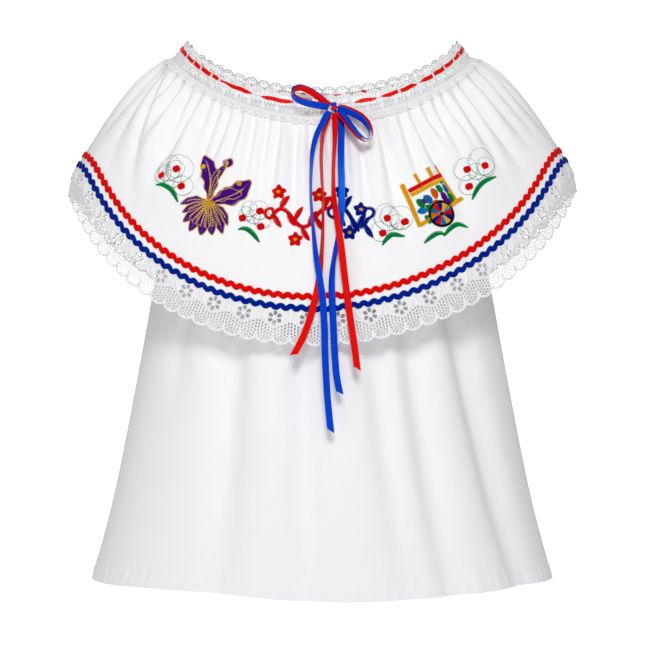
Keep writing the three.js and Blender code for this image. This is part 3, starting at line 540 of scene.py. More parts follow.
knot_azimuth = math.degrees(math.asin(KNOT_X / NECK_WIDTH))
knot_depth = neck_lace_point(np.array(knot_azimuth), RIBBON_UP)[1] - KNOT_AHEAD
KNOT = np.array([KNOT_X, knot_depth, KNOT_Z])
print("knot", np.round(KNOT, 1))

# %% The hanging ends
TAILS = {
    "tail_blue_left": [
        (6.6, -60.8, 10, 4.4), (3, -66.5, 12, 7.2), (0, -73, 16, 9), (-5, -83, 30, 8),
        (-9, -98, 45, 6), (-10.5, -116, 62, 5), (-11, -134, 68, 4.6), (-10.5, -152, 68, 4.6),
        (-8.5, -176, 60, 5.4), (-6, -200, 40, 7.6), (-2.5, -221, 15, 9), (0.5, -244, 5, 8),
        (2, -268, 0, 6), (2.5, -290, 0, 4.6), (3.5, -312, 0, 3.6), (5, -336, 0, 2.6),
        (8, -366, 0, 1.6),
    ],
    "tail_red_left": [
        (6.5, -62, 20, 0.8), (5, -67.5, 30, 2.6), (3, -74, 42, 3.8), (0.5, -84, 55, 4.2),
        (-1, -104, 62, 4.4), (-0.5, -124, 66, 4.4), (0.5, -146, 68, 4.4), (0.5, -170, 66, 4.4),
        (-0.5, -196, 55, 4.2), (-3, -221, 30, 4.2), (-7, -242, 12, 4.4), (-12.5, -262, 5, 3.8),
        (-19, -279, 0, 3.2), (-27, -294, 0, 2.6),
    ],
    "tail_red_right": [
        (12, -62, 20, 0.8), (12.2, -68.5, 28, 3), (12.2, -77, 40, 5.6), (12, -90, 52, 6.4),
        (11, -106, 60, 5.4), (10.5, -124, 60, 4.6), (11, -144, 50, 4.6), (14, -166, 30, 6.6),
        (17.5, -188, 12, 8.2), (20.5, -214, 8, 7), (24, -242, 6, 4.6), (28, -270, 4, 3.8),
        (31.5, -294, 0, 3.2), (33, -307, 0, 2.8),
    ],
    "tail_blue_right": [
        (17.4, -65, 10, 1), (18, -72, 10, 2), (18.2, -82, 10, 2.4), (18, -96, 12, 2.6),
        (18, -112, 12, 2.6), (18.5, -134, 8, 2.6), (18, -158, 10, 2.6), (15.5, -182, 30, 3.2),
        (11, -203, 50, 4.2), (9, -226, 25, 4.4), (10, -254, 8, 4.2), (11.5, -288, 0, 3.2),
        (13.5, -314, 0, 2.6), (16.5, -330, 0, 2.2),
    ],
}
# How each end is cut askew, in millimetres over half its width.
CUTS = {"tail_blue_left": 2.6, "tail_red_left": -2.4, "tail_red_right": 3, "tail_blue_right": 2.2}

for name, rows in TAILS.items():
    x, z, turn, lift = np.array(rows, float).T
    y = np.array([min(front_depth_at(height), KNOT[1]) for height in z]) - lift
    line, turns = smooth_run(np.stack([x, y, z], -1), turn, 90)
    turned = np.radians(turns)
    widthwise = np.stack([np.cos(turned), -np.sin(turned), 0 * turned], -1)
    tail = ribbon_mesh(name + "_ribbon", line, widthwise, slant=(0, CUTS[name]))
    colour = name.split("_")[1]
    finish_piece(tail, SATINS[colour], f"{colour}_ribbon", name)

# %% [markdown]
# ### The bow
# The two loops are the same red and blue ribbons laid together and pushed through the knot. Each
# loop goes out, turns over its end and comes back nearer to us, so that one leg shows the red
# side and the other the blue side.
# A bent ring would be quicker, but a line through set points gives each loop its own droop. The
# knot is three ridged lumps, because only their fronts show.

# %% The loops
# For each loop: the way its width points at rest, how far its two ribbons lie apart, how far the
# blue one slides past the red one, and the places on its line as x, height, how far it is before
# the knot, and how far its width leans towards us in degrees.
LOOPS = {
    "left": ((0, 0, 1), 2.0, 0, [
        (6.4, -54.2, -1.4, 20), (0, -49.6, 2.4, 22), (-7, -44.4, 3.4, 26), (-14, -40.2, 4, 32),
        (-21.5, -38, 4.6, 40), (-26.5, -39.4, 6, 48), (-28.8, -43.4, 9, 50),
        (-26.6, -47.8, 11.6, 46), (-20, -51.6, 12, 36), (-11, -54.2, 10, 26), (-2, -55.4, 6, 22),
        (5.4, -56.2, 2.4, 20),
    ]),
    "right": ((0.57, 0, 0.82), 2.4, -1.2, [
        (15.6, -56.8, -0.4, 30), (22, -58.6, 4, 30), (31, -62.6, 8.2, 34), (39.5, -68.4, 11.4, 42),
        (45.4, -77, 14, 56), (46.4, -85.4, 16.8, 78), (42.4, -89.6, 18.8, 100),
        (36, -86.6, 18.4, 118), (29.4, -79.4, 15.8, 126), (22.4, -69.6, 11.2, 130),
        (16, -61.4, 6.8, 132),
    ]),
}


def loop_ribbon(side, colour, offset, slide):
    upright, _, _, rows = LOOPS[side]
    x, z, ahead, lean = np.array(rows, float).T
    line, leans = smooth_run(np.stack([x, KNOT[1] - ahead, z], -1), lean, 80)
    leans = np.radians(leans)[:, None]
    widthwise = np.array(upright) * np.cos(leans) + np.array([0, -1, 0]) * np.sin(leans)
    along = along_of(line)
    across = unit(widthwise - along * np.sum(widthwise * along, -1, keepdims=True))
    line = line + np.cross(across, along) * offset + across * slide
    return ribbon_mesh(f"loop_{side}_{colour}", line, widthwise, cup=0)


for side, (_, apart, slide, _) in LOOPS.items():
    for colour, offset, moved in (("red", apart / 2, 0), ("blue", -apart / 2, slide)):
        loop = loop_ribbon(side, colour, offset, moved)
        finish_piece(loop, SATINS[colour], f"{colour}_ribbon", f"bow_{side}_{colour}")


# %% The knot
def lump(name, colour, offset, radii, tilt, ridges, *replaced):
    """A turn of ribbon drawn tight: a rounded lump with a few ridges along it."""
    rows, columns = 20, 32
    polar = np.linspace(0, math.pi, rows)[1:-1, None]
    turn = np.linspace(0, 2 * math.pi, columns, endpoint=False)[None, :]
    swell = 1 + 0.07 * np.cos(ridges * turn) * np.sin(polar)
    x = np.sin(polar) * np.cos(turn) * swell
    y = np.sin(polar) * np.sin(turn) * swell
    z = np.cos(polar) + 0 * turn
    sides = np.stack([z, -y, x], -1).reshape(-1, 3)
    local = np.concatenate([sides, [(1, 0, 0), (-1, 0, 0)]]) * radii
    c, s = math.cos(math.radians(tilt)), math.sin(math.radians(tilt))
    spin = np.array([[c, 0, -s], [0, 1, 0], [s, 0, c]])
    points = local @ spin.T + KNOT + offset
    index = np.arange(len(sides)).reshape(rows - 2, columns)
    after = np.roll(index, -1, axis=1)
    pole = len(sides)
    corners = [
        (index[:-1], index[1:], after[1:]),
        (index[:-1], after[1:], after[:-1]),
        (index[0] * 0 + pole, index[0], after[0]),
        (index[-1] * 0 + pole + 1, after[-1], index[-1]),
    ]
    faces = np.concatenate([np.stack(three, -1).reshape(-1, 3) for three in corners])
    piece = new_piece(name, points, outside_out(points, faces), local[:, [2, 0]])
    finish_piece(piece, SATINS[colour], f"{colour}_ribbon", *replaced)


lump("knot_blue", "blue", [0.3, -0.9, 2.4], (3.1, 2.4, 2.2), 24, 5, "bow_knot")
lump("knot_red", "red", [0.9, -1.5, -0.9], (3.6, 2.3, 1.9), 20, 5)
lump("knot_under", "blue", [1.3, -0.4, -3.2], (2.4, 1.9, 1.5), -30, 4)

# %% [markdown]
# ## White cotton
# The cloth is a light plain weave. Close up it has a checker of over and under threads, and here
# and there a thicker thread runs across it, which shows as a faint line. The dimple of the weave
# is in the bump, and the thicker threads also change the white a little.
# A scan of cloth could be tiled instead. Waves and noise need no file, and no repeat shows.

# %% Cotton
def cotton(name, light, dark):
    material, tree, shader = new_material(name, light, 0.85)
    uv, across, along = uv_parts(tree)
    weave = maths(tree, "MULTIPLY", wave(tree, across, 0.0011), wave(tree, along, 0.0011))
    warp = noise(tree, uv, (900, 14, 1))
    weft = noise(tree, uv, (14, 900, 1))
    slubs = maths(tree, "MULTIPLY", maths(tree, "ADD", warp, weft), 0.5)
    cloudy = noise(tree, uv, (9, 9, 1))
    tint(tree, shader, maths(tree, "MULTIPLY", maths(tree, "ADD", slubs, cloudy), 0.5), dark, light)
    woven = maths(tree, "MULTIPLY", weave, 0.5)
    height = maths(tree, "ADD", woven, maths(tree, "MULTIPLY", slubs, 1.6))
    add_bump(tree, shader, height, 0.00016, 0.5)
    shader.inputs["Specular IOR Level"].default_value = 0.1
    return material


white_cotton = cotton("white_cotton", (0.93, 0.93, 0.945), (0.87, 0.87, 0.89))

# %% [markdown]
# ## The body
# Two A-line panels hang from the neck seam under the flounce. The cloth is soft but not limp, so
# it falls in a few broad waves that widen towards the hem, and the turned hem is double and
# draws in small puckers along its stitches.
# A simulated cloth would fall well, but with its folds in other places. Here each fold is a row
# of a table, so it lies where it should.

# %% The body's form
# Half the width and the depth before and behind the side seams, from the neck, 0, to the hem, 1.
BODY_SECTIONS = np.array([
    (0, 149, 94, 94),
    (0.15, 150, 105, 102),
    (0.29, 154, 118, 106),
    (0.46, 170, 123, 107),
    (0.65, 188, 124, 110),
    (0.85, 209, 125, 114),
    (1, 229.4, 127, 118),
])
# Each fold: where it lies at the neck end and at the hem, its depth, half its width in degrees,
# how far down it dies out, and how far it draws the hem up.
BODY_FOLDS = np.array([
    (-54, -49, 6, 5, 0.75, 3),
    (-33, -27, 11, 6, 1.5, 5),
    (-10, -3, 10, 5, 1.5, 0),
    (12, 22, 9, 4.5, 1.3, 0),
    (26, 34, 11, 5, 1.5, 1),
    (43, 59, 12, 6, 1.5, 2),
    (127, 117, 9, 6, 1.5, 2),
    (144, 139, 8, 5, 1.3, 0),
    (166, 163, 10, 5, 1.5, 0),
    (189, 192, 8, 5, 1.3, 0),
    (211, 216, 10, 6, 1.5, 3),
    (233, 241, 9, 6, 1.5, 2),
])
COTTON_WALL = 0.5


def section(column, down):
    """One column of the body's table on a smooth curve through its rows."""
    downs, values = BODY_SECTIONS[:, 0], BODY_SECTIONS[:, column]
    last = len(downs) - 1
    i = np.clip(np.searchsorted(downs, down), 1, last)
    before, start, after = np.maximum(i - 2, 0), i - 1, np.minimum(i + 1, last)
    span = downs[i] - downs[start]
    t = (down - downs[start]) / span
    leave = (values[i] - values[before]) / (downs[i] - downs[before]) * span
    arrive = (values[after] - values[start]) / (downs[after] - downs[start]) * span
    rise = (3 - 2 * t) * t * t
    bend = (t**3 - 2 * t**2 + t) * leave
    return lerp(values[start], values[i], rise) + bend + (t**3 - t**2) * arrive


def body_point(azimuth, down):
    azimuth, down = np.broadcast_arrays(np.asarray(azimuth, float), np.asarray(down, float))
    raised, sunk = 0, 0
    for top, hem, depth, width, ends, lift in BODY_FOLDS:
        raised = raised + lift * valley(azimuth, hem, 3 * width)
        fade = smoothstep(down, 0.02, 0.3) * (1 - smoothstep(down, 0.4 * ends, ends))
        sunk = sunk + depth * fade * valley(azimuth, lerp(top, hem, down), width)
    start = neck_point(azimuth)[..., 2]
    end = raised - dip(azimuth, BODY_SIDE, BODY_FRONT, BODY_BACK)
    width, front, back = (section(k, down) for k in (1, 2, 3))
    point = ring_point(azimuth, width, front, back, lerp(start, end, down))
    return point - outward(azimuth) * sunk[..., None]


def armhole_angle(down):
    share = np.minimum(down / ARMHOLE_DEPTH, 1)
    return lerp(ARMHOLE_ANGLE, 90, share**ARMHOLE_CURVE)


# %% The body's panels
PANELS = {"front": (-90, 90), "back": (90, 270)}
# What the turned hem adds to each face of the cloth, how far a side seam draws in, and how wide
# that is in degrees.
TURNED_HEM, BODY_SEAM, BODY_SEAM_WIDTH = 0.45, 0.5, 0.35


def lengths_along(points, axis):
    steps = np.linalg.norm(np.diff(points, axis=axis), axis=-1)
    start = np.zeros_like(np.take(steps, [0], axis=axis))
    return np.concatenate([start, np.cumsum(steps, axis=axis)], axis=axis)


def cloth_uv(points):
    """How far each point of a grid is across and down the cloth, in millimetres."""
    across = lengths_along(points, 1)
    across = across - across[:, -1:] / 2
    return np.stack([across, lengths_along(points, 0)], -1).reshape(-1, 2)


def puckers(azimuth, down):
    """Small ripples along the body's hem, where the stitches draw the cloth."""
    near = np.exp(-(((down - 1 + BODY_HEM / BODY_SIDE) / 0.02) ** 2))
    a = np.radians(azimuth)
    ripple = np.sin(97 * a) + 0.7 * np.sin(61 * a + 1.3) + 0.6 * np.sin(143 * a + 0.4)
    return 0.28 * near * ripple


def body_panel(side):
    start, end = PANELS[side]
    middle = (start + end) / 2
    downs = np.concatenate([np.linspace(0, 0.95, 62), np.linspace(0.955, 1, 16)])
    shares = np.linspace(-1, 1, 261)
    reach = armhole_angle(downs)[:, None]
    azimuths = middle + shares * reach
    places = np.broadcast_to(downs[:, None], azimuths.shape)
    mid = body_point(azimuths, places)
    mid = mid + outward(azimuths) * puckers(azimuths, places)[..., None]
    normals = grid_normals(mid)
    at_hem = smoothstep(places, 1 - (BODY_HEM + 0.6) / BODY_SIDE, 1 - (BODY_HEM - 0.6) / BODY_SIDE)
    seam = np.exp(-(((np.abs(shares) - 1) * 90 / BODY_SEAM_WIDTH) ** 2))[None, :, None]
    half = (COTTON_WALL / 2 + TURNED_HEM * at_hem)[..., None] * normals
    drawn = normals * BODY_SEAM * seam
    points, faces = shell(mid + half - drawn, mid - half - drawn)
    uv = np.tile(cloth_uv(mid), (2, 1))
    piece = new_piece(f"body_{side}_cloth", points, faces, uv, crease=70)
    finish_piece(piece, white_cotton, "cotton", f"body_{side}")
    return piece, mid


for side in PANELS:
    piece, mid = body_panel(side)
    width = float(lengths_along(mid, 1)[-1, -1])

# %% [markdown]
# ## The flounce
# A deep ruffle of the same cotton is gathered into the neck seam. Besides the large gathers it
# has many small pleats close under the seam, where the cloth is drawn together stitch by stitch.
# They follow the lean of the gathers and fade out at uneven lengths. Close under the neck the
# two cloths are sewn together, so the gathers stay shallow there and clear of the body.
# Real gathers come from more cloth than the seam has room for. Valleys pushed into a smooth
# surface look the same, and each one stays where it is put.

# %% The small pleats
PLEATS = 58
# How much deeper the cloth's gathers are than those of the solid.
GATHER_GAIN = 1.45
# How deep the gathers may sink before they meet the body: at the neck, and for the whole way down.
ROOM_AT_NECK, ROOM_DOWN = 0.3, 80
# The least and the most of what is drawn at random. Widths are in degrees.
CREASE_DEPTH, CREASE_WIDTH = (1.6, 3.2), (0.6, 1.0)
PLEAT_DEPTH, PLEAT_WIDTH, PLEAT_END = (0.8, 2.4), (0.45, 0.9), (0.15, 0.6)
PLEAT_SPREAD = 1.4
rng = np.random.default_rng(7)
order = np.argsort(FLOUNCE_FOLDS[:, 0])
lean_from = np.concatenate([[-102], FLOUNCE_FOLDS[order, 0], [282]])
lean_to = np.concatenate([[-112], FLOUNCE_FOLDS[order, 1], [292]])
spread = -100 + 380 * (np.arange(PLEATS) + rng.uniform(0.1, 0.9, PLEATS)) / PLEATS
# A sharp crease lies along each large gather, and lesser pleats stand between them.
folds = len(FLOUNCE_FOLDS)
pleat_at = np.concatenate([FLOUNCE_FOLDS[:, 0], spread])
pleat_to = np.concatenate([FLOUNCE_FOLDS[:, 1], np.interp(spread, lean_from, lean_to)])
pleat_depth = np.concatenate([rng.uniform(*CREASE_DEPTH, folds), rng.uniform(*PLEAT_DEPTH, PLEATS)])
pleat_width = np.concatenate([rng.uniform(*CREASE_WIDTH, folds), rng.uniform(*PLEAT_WIDTH, PLEATS)])
crease_ends = np.minimum(FLOUNCE_FOLDS[:, 4] + 0.2, 0.96)
pleat_ends = np.concatenate([crease_ends, rng.uniform(*PLEAT_END, PLEATS)])


def small_pleats(azimuth, down):
    sunk = np.zeros_like(azimuth)
    for at, to, depth, width, ends in zip(pleat_at, pleat_to, pleat_depth, pleat_width, pleat_ends):
        fade = smoothstep(down, 0, 0.02) * (1 - smoothstep(down, 0.15 * ends, ends))
        reach = width * (1 + PLEAT_SPREAD * down)
        sunk += depth * fade * valley(azimuth, lerp(at, to, down), reach)
    return sunk


def flounce_cloth(azimuth, down):
    """The flounce's surface with its gathers and small pleats."""
    azimuth, down = np.broadcast_arrays(np.asarray(azimuth, float), np.asarray(down, float))
    sunk = GATHER_GAIN * flounce_fold(azimuth, down) + small_pleats(azimuth, down)
    room = ROOM_AT_NECK + ROOM_DOWN * np.maximum(down, 0)
    sunk = room * np.tanh(sunk / room)
    return flounce_envelope(azimuth, down, sunk)


# %% The flounce's panels
FLOUNCE_SEAM, FLOUNCE_SEAM_WIDTH = 0.45, 0.3


def flounce_panel(side):
    start, end = PANELS[side]
    azimuths = np.linspace(start, end, 441)[None, :]
    downs = np.linspace(0, 1, 58)[:, None] ** 1.25
    mid = flounce_cloth(azimuths, downs)
    normals = grid_normals(mid)
    normals[0] = outward(azimuths[0])
    from_seam = np.abs(azimuths - (start + end) / 2) - 90
    seam = np.exp(-((from_seam / FLOUNCE_SEAM_WIDTH) ** 2))[..., None]
    mid = mid - normals * FLOUNCE_SEAM * seam
    points, faces = shell(mid + normals * COTTON_WALL / 2, mid - normals * COTTON_WALL / 2)
    uv = np.tile(cloth_uv(mid), (2, 1))
    piece = new_piece(f"flounce_{side}_cloth", points, faces, uv, crease=75)
    finish_piece(piece, white_cotton, "cotton", f"flounce_{side}")
    return piece, mid


for side in PANELS:
    piece, mid = flounce_panel(side)
    width = float(lengths_along(mid, 1)[-1, -1])

# %% [markdown]
# ## Embroidery
# The flounce's front carries machine embroidery. Real stitches are short runs of shiny thread that
# stand up from the cloth, so each one is modelled as a small arched prism. A motif is drawn flat,
# as it is seen from the front, and every stitch is then laid on the gathered cloth, so it dips
# into the folds with it. All stitches of one colour are joined into one mesh.
# A painted pattern with some bump would be lighter, but it would look flat from the side, and
# its threads wouldn't catch the light one by one.

# %% Laying stitches on the cloth
# The search for a point's place starts from this half width, and takes this many turns. Each
# turn moves it no more than these degrees round and this share of the way down.
SEARCH_WIDTH, SEARCH_TURNS, SEARCH_STEP = 205, 12, 0.0001
ROUND_LIMIT, DOWN_LIMIT = 8, 0.2


def flounce_place(flat):
    """The azimuths and places down of the flounce at points given as x and height."""
    x, z = flat[..., 0], flat[..., 1]
    azimuth = np.degrees(np.arcsin(np.clip(x / SEARCH_WIDTH, -0.98, 0.98)))
    down = np.full_like(x, 0.5)
    for _ in range(SEARCH_TURNS):
        here = flounce_envelope(azimuth, down)
        round_it = (flounce_envelope(azimuth + SEARCH_STEP, down) - here) / SEARCH_STEP
        down_it = (flounce_envelope(azimuth, down + SEARCH_STEP) - here) / SEARCH_STEP
        miss_x, miss_z = x - here[..., 0], z - here[..., 2]
        size = round_it[..., 0] * down_it[..., 2] - round_it[..., 2] * down_it[..., 0]
        turn = (miss_x * down_it[..., 2] - miss_z * down_it[..., 0]) / size
        fall = (miss_z * round_it[..., 0] - miss_x * round_it[..., 2]) / size
        azimuth = azimuth + np.clip(turn, -ROUND_LIMIT, ROUND_LIMIT)
        down = down + np.clip(fall, -DOWN_LIMIT, DOWN_LIMIT)
    return azimuth, down


def on_flounce(flat):
    azimuth, down = flounce_place(flat)
    return flounce_cloth(azimuth, down), surface_normal(flounce_cloth, azimuth, down, 0.004)


STITCH_SHARES = np.array([0, 0.25, 0.75, 1])
STITCH_RISE = np.array([0.3, 1, 1, 0.3])
# The foot of a stitch is sunk a little, so it doesn't float over the cloth's facets.
STITCH_SUNK = 0.15


def stitch_points(starts, ends, width, height, lift, lay):
    """The corners of arched prisms from starts to ends, and their places on the thread."""
    shares = STITCH_SHARES[None, :, None]
    middle, normal = lay(lerp(starts[:, None], ends[:, None], shares))
    run = middle[:, -1] - middle[:, 0]
    aside = unit(np.cross(normal, unit(run)[:, None])) * width / 2
    base = middle + normal * (COTTON_WALL / 2 + lift - STITCH_SUNK)
    ridge_line = middle + normal * (COTTON_WALL / 2 + lift + height * STITCH_RISE[None, :, None])
    points = np.stack([base + aside, ridge_line, base - aside], axis=2)
    length = np.linalg.norm(run, axis=1)[:, None, None] * shares
    # Each thread reads its own part of the grain, so no two look alike.
    offset = 7.3 * np.arange(len(starts))[:, None, None]
    across = np.array([-0.5, 0, 0.5])[None, None, :] * width + offset
    return points, np.stack(np.broadcast_arrays(across, length), -1)


def stitch_mesh(name, runs, lay):
    """One mesh of many stitches. Each run is starts, ends, width, height and lift."""
    made = [stitch_points(*run, lay) for run in runs]
    points = np.concatenate([p.reshape(-1, 3) for p, _ in made])
    uv = np.concatenate([w.reshape(-1, 2) for _, w in made])
    sections = len(STITCH_SHARES)
    faces = []
    for s in range(sections - 1):
        for k in range(3):
            a, b = 3 * s + k, 3 * s + (k + 1) % 3
            faces += [(a, b, b + 3), (a, b + 3, a + 3)]
    last = 3 * (sections - 1)
    faces += [(0, 2, 1), (last, last + 1, last + 2)]
    count = len(points) // (3 * sections)
    shifts = 3 * sections * np.arange(count)[:, None, None]
    print(name, count, "stitches")
    return new_piece(name, points, (np.array(faces)[None] + shifts).reshape(-1, 3), uv, crease=75)


# %% [markdown]
# ### The hem's stitches
# A row of small white machine stitches holds the body's turned hem. The same arched prisms are
# laid on the body, their ends given as an azimuth and a place down.

# %% The hem's stitches
HEM_STITCHES, STITCH_SHARE = 210, 0.72
HEM_THREAD_WIDTH, HEM_THREAD_HEIGHT, HEM_THREAD_LIFT = 0.5, 0.35, 0.35


def on_body(places):
    azimuth, down = places[..., 0], places[..., 1]
    middle = body_point(azimuth, down) + outward(azimuth) * puckers(azimuth, down)[..., None]
    return middle, surface_normal(body_point, azimuth, down, 0.002)


def hem_stitches(side):
    start, end = PANELS[side]
    total, azimuth_at = even_azimuths(lambda a: body_point(a, 1.0), start + 0.5, end - 0.5)
    from_places = azimuth_at(np.arange(HEM_STITCHES) / HEM_STITCHES)
    to_places = azimuth_at((np.arange(HEM_STITCHES) + STITCH_SHARE) / HEM_STITCHES)
    down = np.full(HEM_STITCHES, 1 - (BODY_HEM - 1) / BODY_SIDE)
    starts, ends = (np.stack([places, down], -1) for places in (from_places, to_places))
    run = (starts, ends, HEM_THREAD_WIDTH, HEM_THREAD_HEIGHT, HEM_THREAD_LIFT)
    piece = stitch_mesh(f"hem_stitches_{side}", [run], on_body)
    finish_piece(piece, white_cotton, "cotton")
    print(side, "hem stitches every", round(total / HEM_STITCHES, 1), "mm")


for side in PANELS:
    hem_stitches(side)

# %% [markdown]
# ### Kinds of stitch
# Three are enough. Satin stitch fills a narrow shape with threads from one side to the other.
# Running stitch is a line of short dashes. A patch is a small block of satin stitch, for a berry.
# Each helper gives the two ends of its threads on the flat drawing, in millimetres, and then the
# width and height of a thread and how far it is lifted over what lies below.

# %% Kinds of stitch
THREAD_GAP = 0.55
THREAD_WIDTH, THREAD_HEIGHT = 0.75, 0.65
DASH_HEIGHT, PATCH_HEIGHT = 0.55, 0.75


def resample(path, count):
    path = np.asarray(path, float)
    steps = np.linalg.norm(np.diff(path, axis=0), axis=1)
    at = np.concatenate([[0], np.cumsum(steps)])
    places = np.linspace(0, at[-1], count)
    return np.stack([np.interp(places, at, path[:, k]) for k in (0, 1)], -1), at[-1]


def satin_line(path, width, lift=0.0, taper=0.0):
    """Satin stitch along a path, its width constant or drawn in to points by the taper."""
    _, total = resample(path, 2)
    count = max(int(total / THREAD_GAP), 3)
    line, _ = resample(path, count)
    along = along_of(line)
    aside = np.stack([along[:, 1], -along[:, 0]], -1)
    shares = np.linspace(0, 1, count)
    half = width / 2 * lerp(1, np.sin(np.pi * np.clip(shares, 0.04, 0.96)) ** 0.5, taper)
    to_side = aside * half[:, None] + along * 0.25 * THREAD_GAP
    return line - to_side, line + to_side, THREAD_WIDTH, THREAD_HEIGHT, lift


def running_line(path, lift=0.0, dash=1.7, gap=0.4, thick=0.65):
    _, total = resample(path, 2)
    count = max(round(total / (dash + gap)), 1)
    line, _ = resample(path, 3 * count + 1)
    return line[0:-1:3], line[2::3], thick, DASH_HEIGHT, lift


def patch(centre, size, turn=0.0, lift=0.0):
    """A block of satin stitch with rounded corners."""
    width, height = size
    count = max(int(width / THREAD_GAP), 3)
    x = np.linspace(-width / 2, width / 2, count)
    half = height / 2 * (1 - 0.45 * np.abs(2 * x / width) ** 5)
    c, s = math.cos(math.radians(turn)), math.sin(math.radians(turn))
    spin = np.array([[c, s], [-s, c]])
    low, high = np.stack([x, -half], -1) @ spin, np.stack([x, half], -1) @ spin
    return low + centre, high + centre, THREAD_WIDTH, PATCH_HEIGHT, lift


def curve_through(points, count=40):
    """A smooth path through a few points."""
    rows = [(x, z, 0) for x, z in points]
    line, _ = smooth_run(rows, np.zeros(len(rows)), count)
    return line[:, :2]


def circle(centre, radius, start=0, end=360):
    a = np.radians(np.linspace(start, end, 49))
    return np.asarray(centre) + radius * np.stack([np.cos(a), np.sin(a)], -1)


thread_runs = {}


def sew(colour, run):
    thread_runs.setdefault(colour, []).append(run)


# %% [markdown]
# ### Berry sprigs
# Four sprigs stand between the larger motifs. Each has loops of thin green running stitch round
# red berries, over a curved green leaf. The loops cross, and part of each is sewn twice.

# %% Berry sprigs
# For each sprig: its centre, its loops as x, height and radius, its berries, and its leaf's curve.
SPRIGS = [
    (
        (-147, -119),
        [(-8, 0, 9.5), (-2, 5, 13), (8.5, 4, 13.5), (5.5, 3.5, 8.5), (12.5, -13, 9.5), (2, -6, 9)],
        [(-9.5, -1.5), (6.5, 3.5), (11.5, -13.5)],
        [(-14, -11), (-6, -12), (2, -17), (8.5, -29)],
    ),
    (
        (-66, -160),
        [(-4, 5, 7.5), (-7, 0, 7), (5, 4, 9), (8.5, -5, 8.5), (0, -3, 6.5)],
        [(-10, -4), (6, 3), (7, -12)],
        [(-14, -15), (-8, -14), (-2, -17), (6, -27)],
    ),
    (
        (66, -165),
        [(-4, 2, 13), (9, 2, 11.5), (-11, -12, 9.5), (-2, 3, 9.5), (6, -2, 7.5)],
        [(-4, 1), (13.5, -2), (-8.5, -13.5)],
        [(-9, -25), (-4, -18), (1, -14.5), (13, -16)],
    ),
    (
        (150, -112),
        [(-11.5, -3.5, 11), (4, 4, 13.5), (8, -1, 9.5), (-8, -19, 9.5), (-2, -6, 8)],
        [(-10.5, -4), (7, 0), (-8.5, -20.5)],
        [(-5.5, -33), (-1, -23), (6, -15.5), (18, -10.5)],
    ),
]
BERRY, BERRY_TURN, LEAF_WIDTH = (6.4, 6.4), 20, 5.2

for centre, loops, berries, leaf in SPRIGS:
    for x, z, radius in loops:
        sew("pale", running_line(circle(np.add(centre, (x, z)), radius)))
        beside = np.add(centre, (x + 0.7, z - 0.9))
        sew("pale", running_line(circle(beside, radius - 0.6, 140, 330)))
    for berry in berries:
        sew("red", patch(np.add(centre, berry), BERRY, BERRY_TURN, lift=0.4))
    sew("green", satin_line(curve_through(np.add(leaf, centre)), LEAF_WIDTH, taper=1.0))

# %% [markdown]
# ### The large flower
# An orchid in purple satin stitch with gold edges. Each petal is a line from the flower's heart to
# its tip, swelling on the way, so one helper draws them all. Gold running stitches mark the veins.

# %% The large flower
HEART = np.array([-108, -149])
# Each petal's tip from the heart, how far its middle bows aside, its width, the depth and number
# of the waves along its edge, and how many veins it has.
PETALS = [
    ((-9, 48), 5, 17, 1.1, 4, 1),
    ((17, 40), -4, 6, 0.3, 2, 1),
    ((39, 21), 4, 19, 1.4, 3, 1),
    ((30, 9), -3, 11, 0.8, 3, 0),
    ((-28, -1), 4, 7, 0.4, 3, 1),
    ((-26, -9), 2, 7, 0.4, 3, 1),
    ((-25, -18), 1, 9, 0.6, 2, 1),
    ((-19, -27), 1, 11, 0.8, 2, 2),
    ((-8, -31), 0, 12, 0.8, 2, 2),
    ((3, -31), 0, 11, 0.8, 2, 2),
    ((13, -30), -2, 9, 0.6, 3, 1),
    ((18, -22), -4, 7, 0.4, 3, 1),
]


def petal_sides(tip, bow, width, depth, waves):
    """The middle line of a petal and its two edges."""
    tip = np.asarray(tip, float)
    reach = np.linalg.norm(tip)
    shares = np.linspace(0.06, 1, 34)[:, None]
    aside = np.array([tip[1], -tip[0]]) / reach
    middle = HEART + tip * shares + aside * bow * np.sin(np.pi * shares)
    half = width / 2 * np.sin(np.pi * np.clip(shares, 0, 0.985) ** 1.35) ** 0.6
    half = half + depth * np.sin(2 * np.pi * waves * shares) * np.sin(np.pi * shares)
    return middle, middle - aside * half, middle + aside * half


for tip, bow, width, depth, waves, veins in PETALS:
    middle, left, right = petal_sides(tip, bow, width, depth, waves)
    count = int(np.linalg.norm(tip) / THREAD_GAP)
    one, _ = resample(left, count)
    other, _ = resample(right, count)
    inner, _ = resample(middle, count)
    sew("purple", (one, inner, THREAD_WIDTH, THREAD_HEIGHT, 0.0))
    sew("purple", (inner, other, THREAD_WIDTH, THREAD_HEIGHT, 0.0))
    edge = np.concatenate([left, right[::-1]])
    sew("gold", running_line(edge, lift=0.35, dash=2.2, gap=0.1, thick=1.15))
    for vein in range(veins):
        share = (vein + 1) / (veins + 1)
        line = lerp(left, right, share)[3:-8]
        sew("gold", running_line(line, lift=0.6, dash=2.2, gap=0.3, thick=1.05))
sew("gold", patch(HEART, (8, 11), 20))
sew("purple", patch(HEART + [17, 39], (10, 9), 10))
for spot in ((15.5, 38.5), (-7.5, 36), (27, 19)):
    sew("gold", patch(HEART + spot, (3.6, 4.6), 10, lift=0.7))
sew("gold", running_line(circle(HEART + [17, 39], 4.9), lift=0.35, dash=2, gap=0.1, thick=1.15))

# %% [markdown]
# ### The cart
# A painted ox cart: gold posts and rails, a side panel filled with leaves and blossoms, and a
# black-rimmed wheel with spokes in five colours. Two blades of grass lie under it.

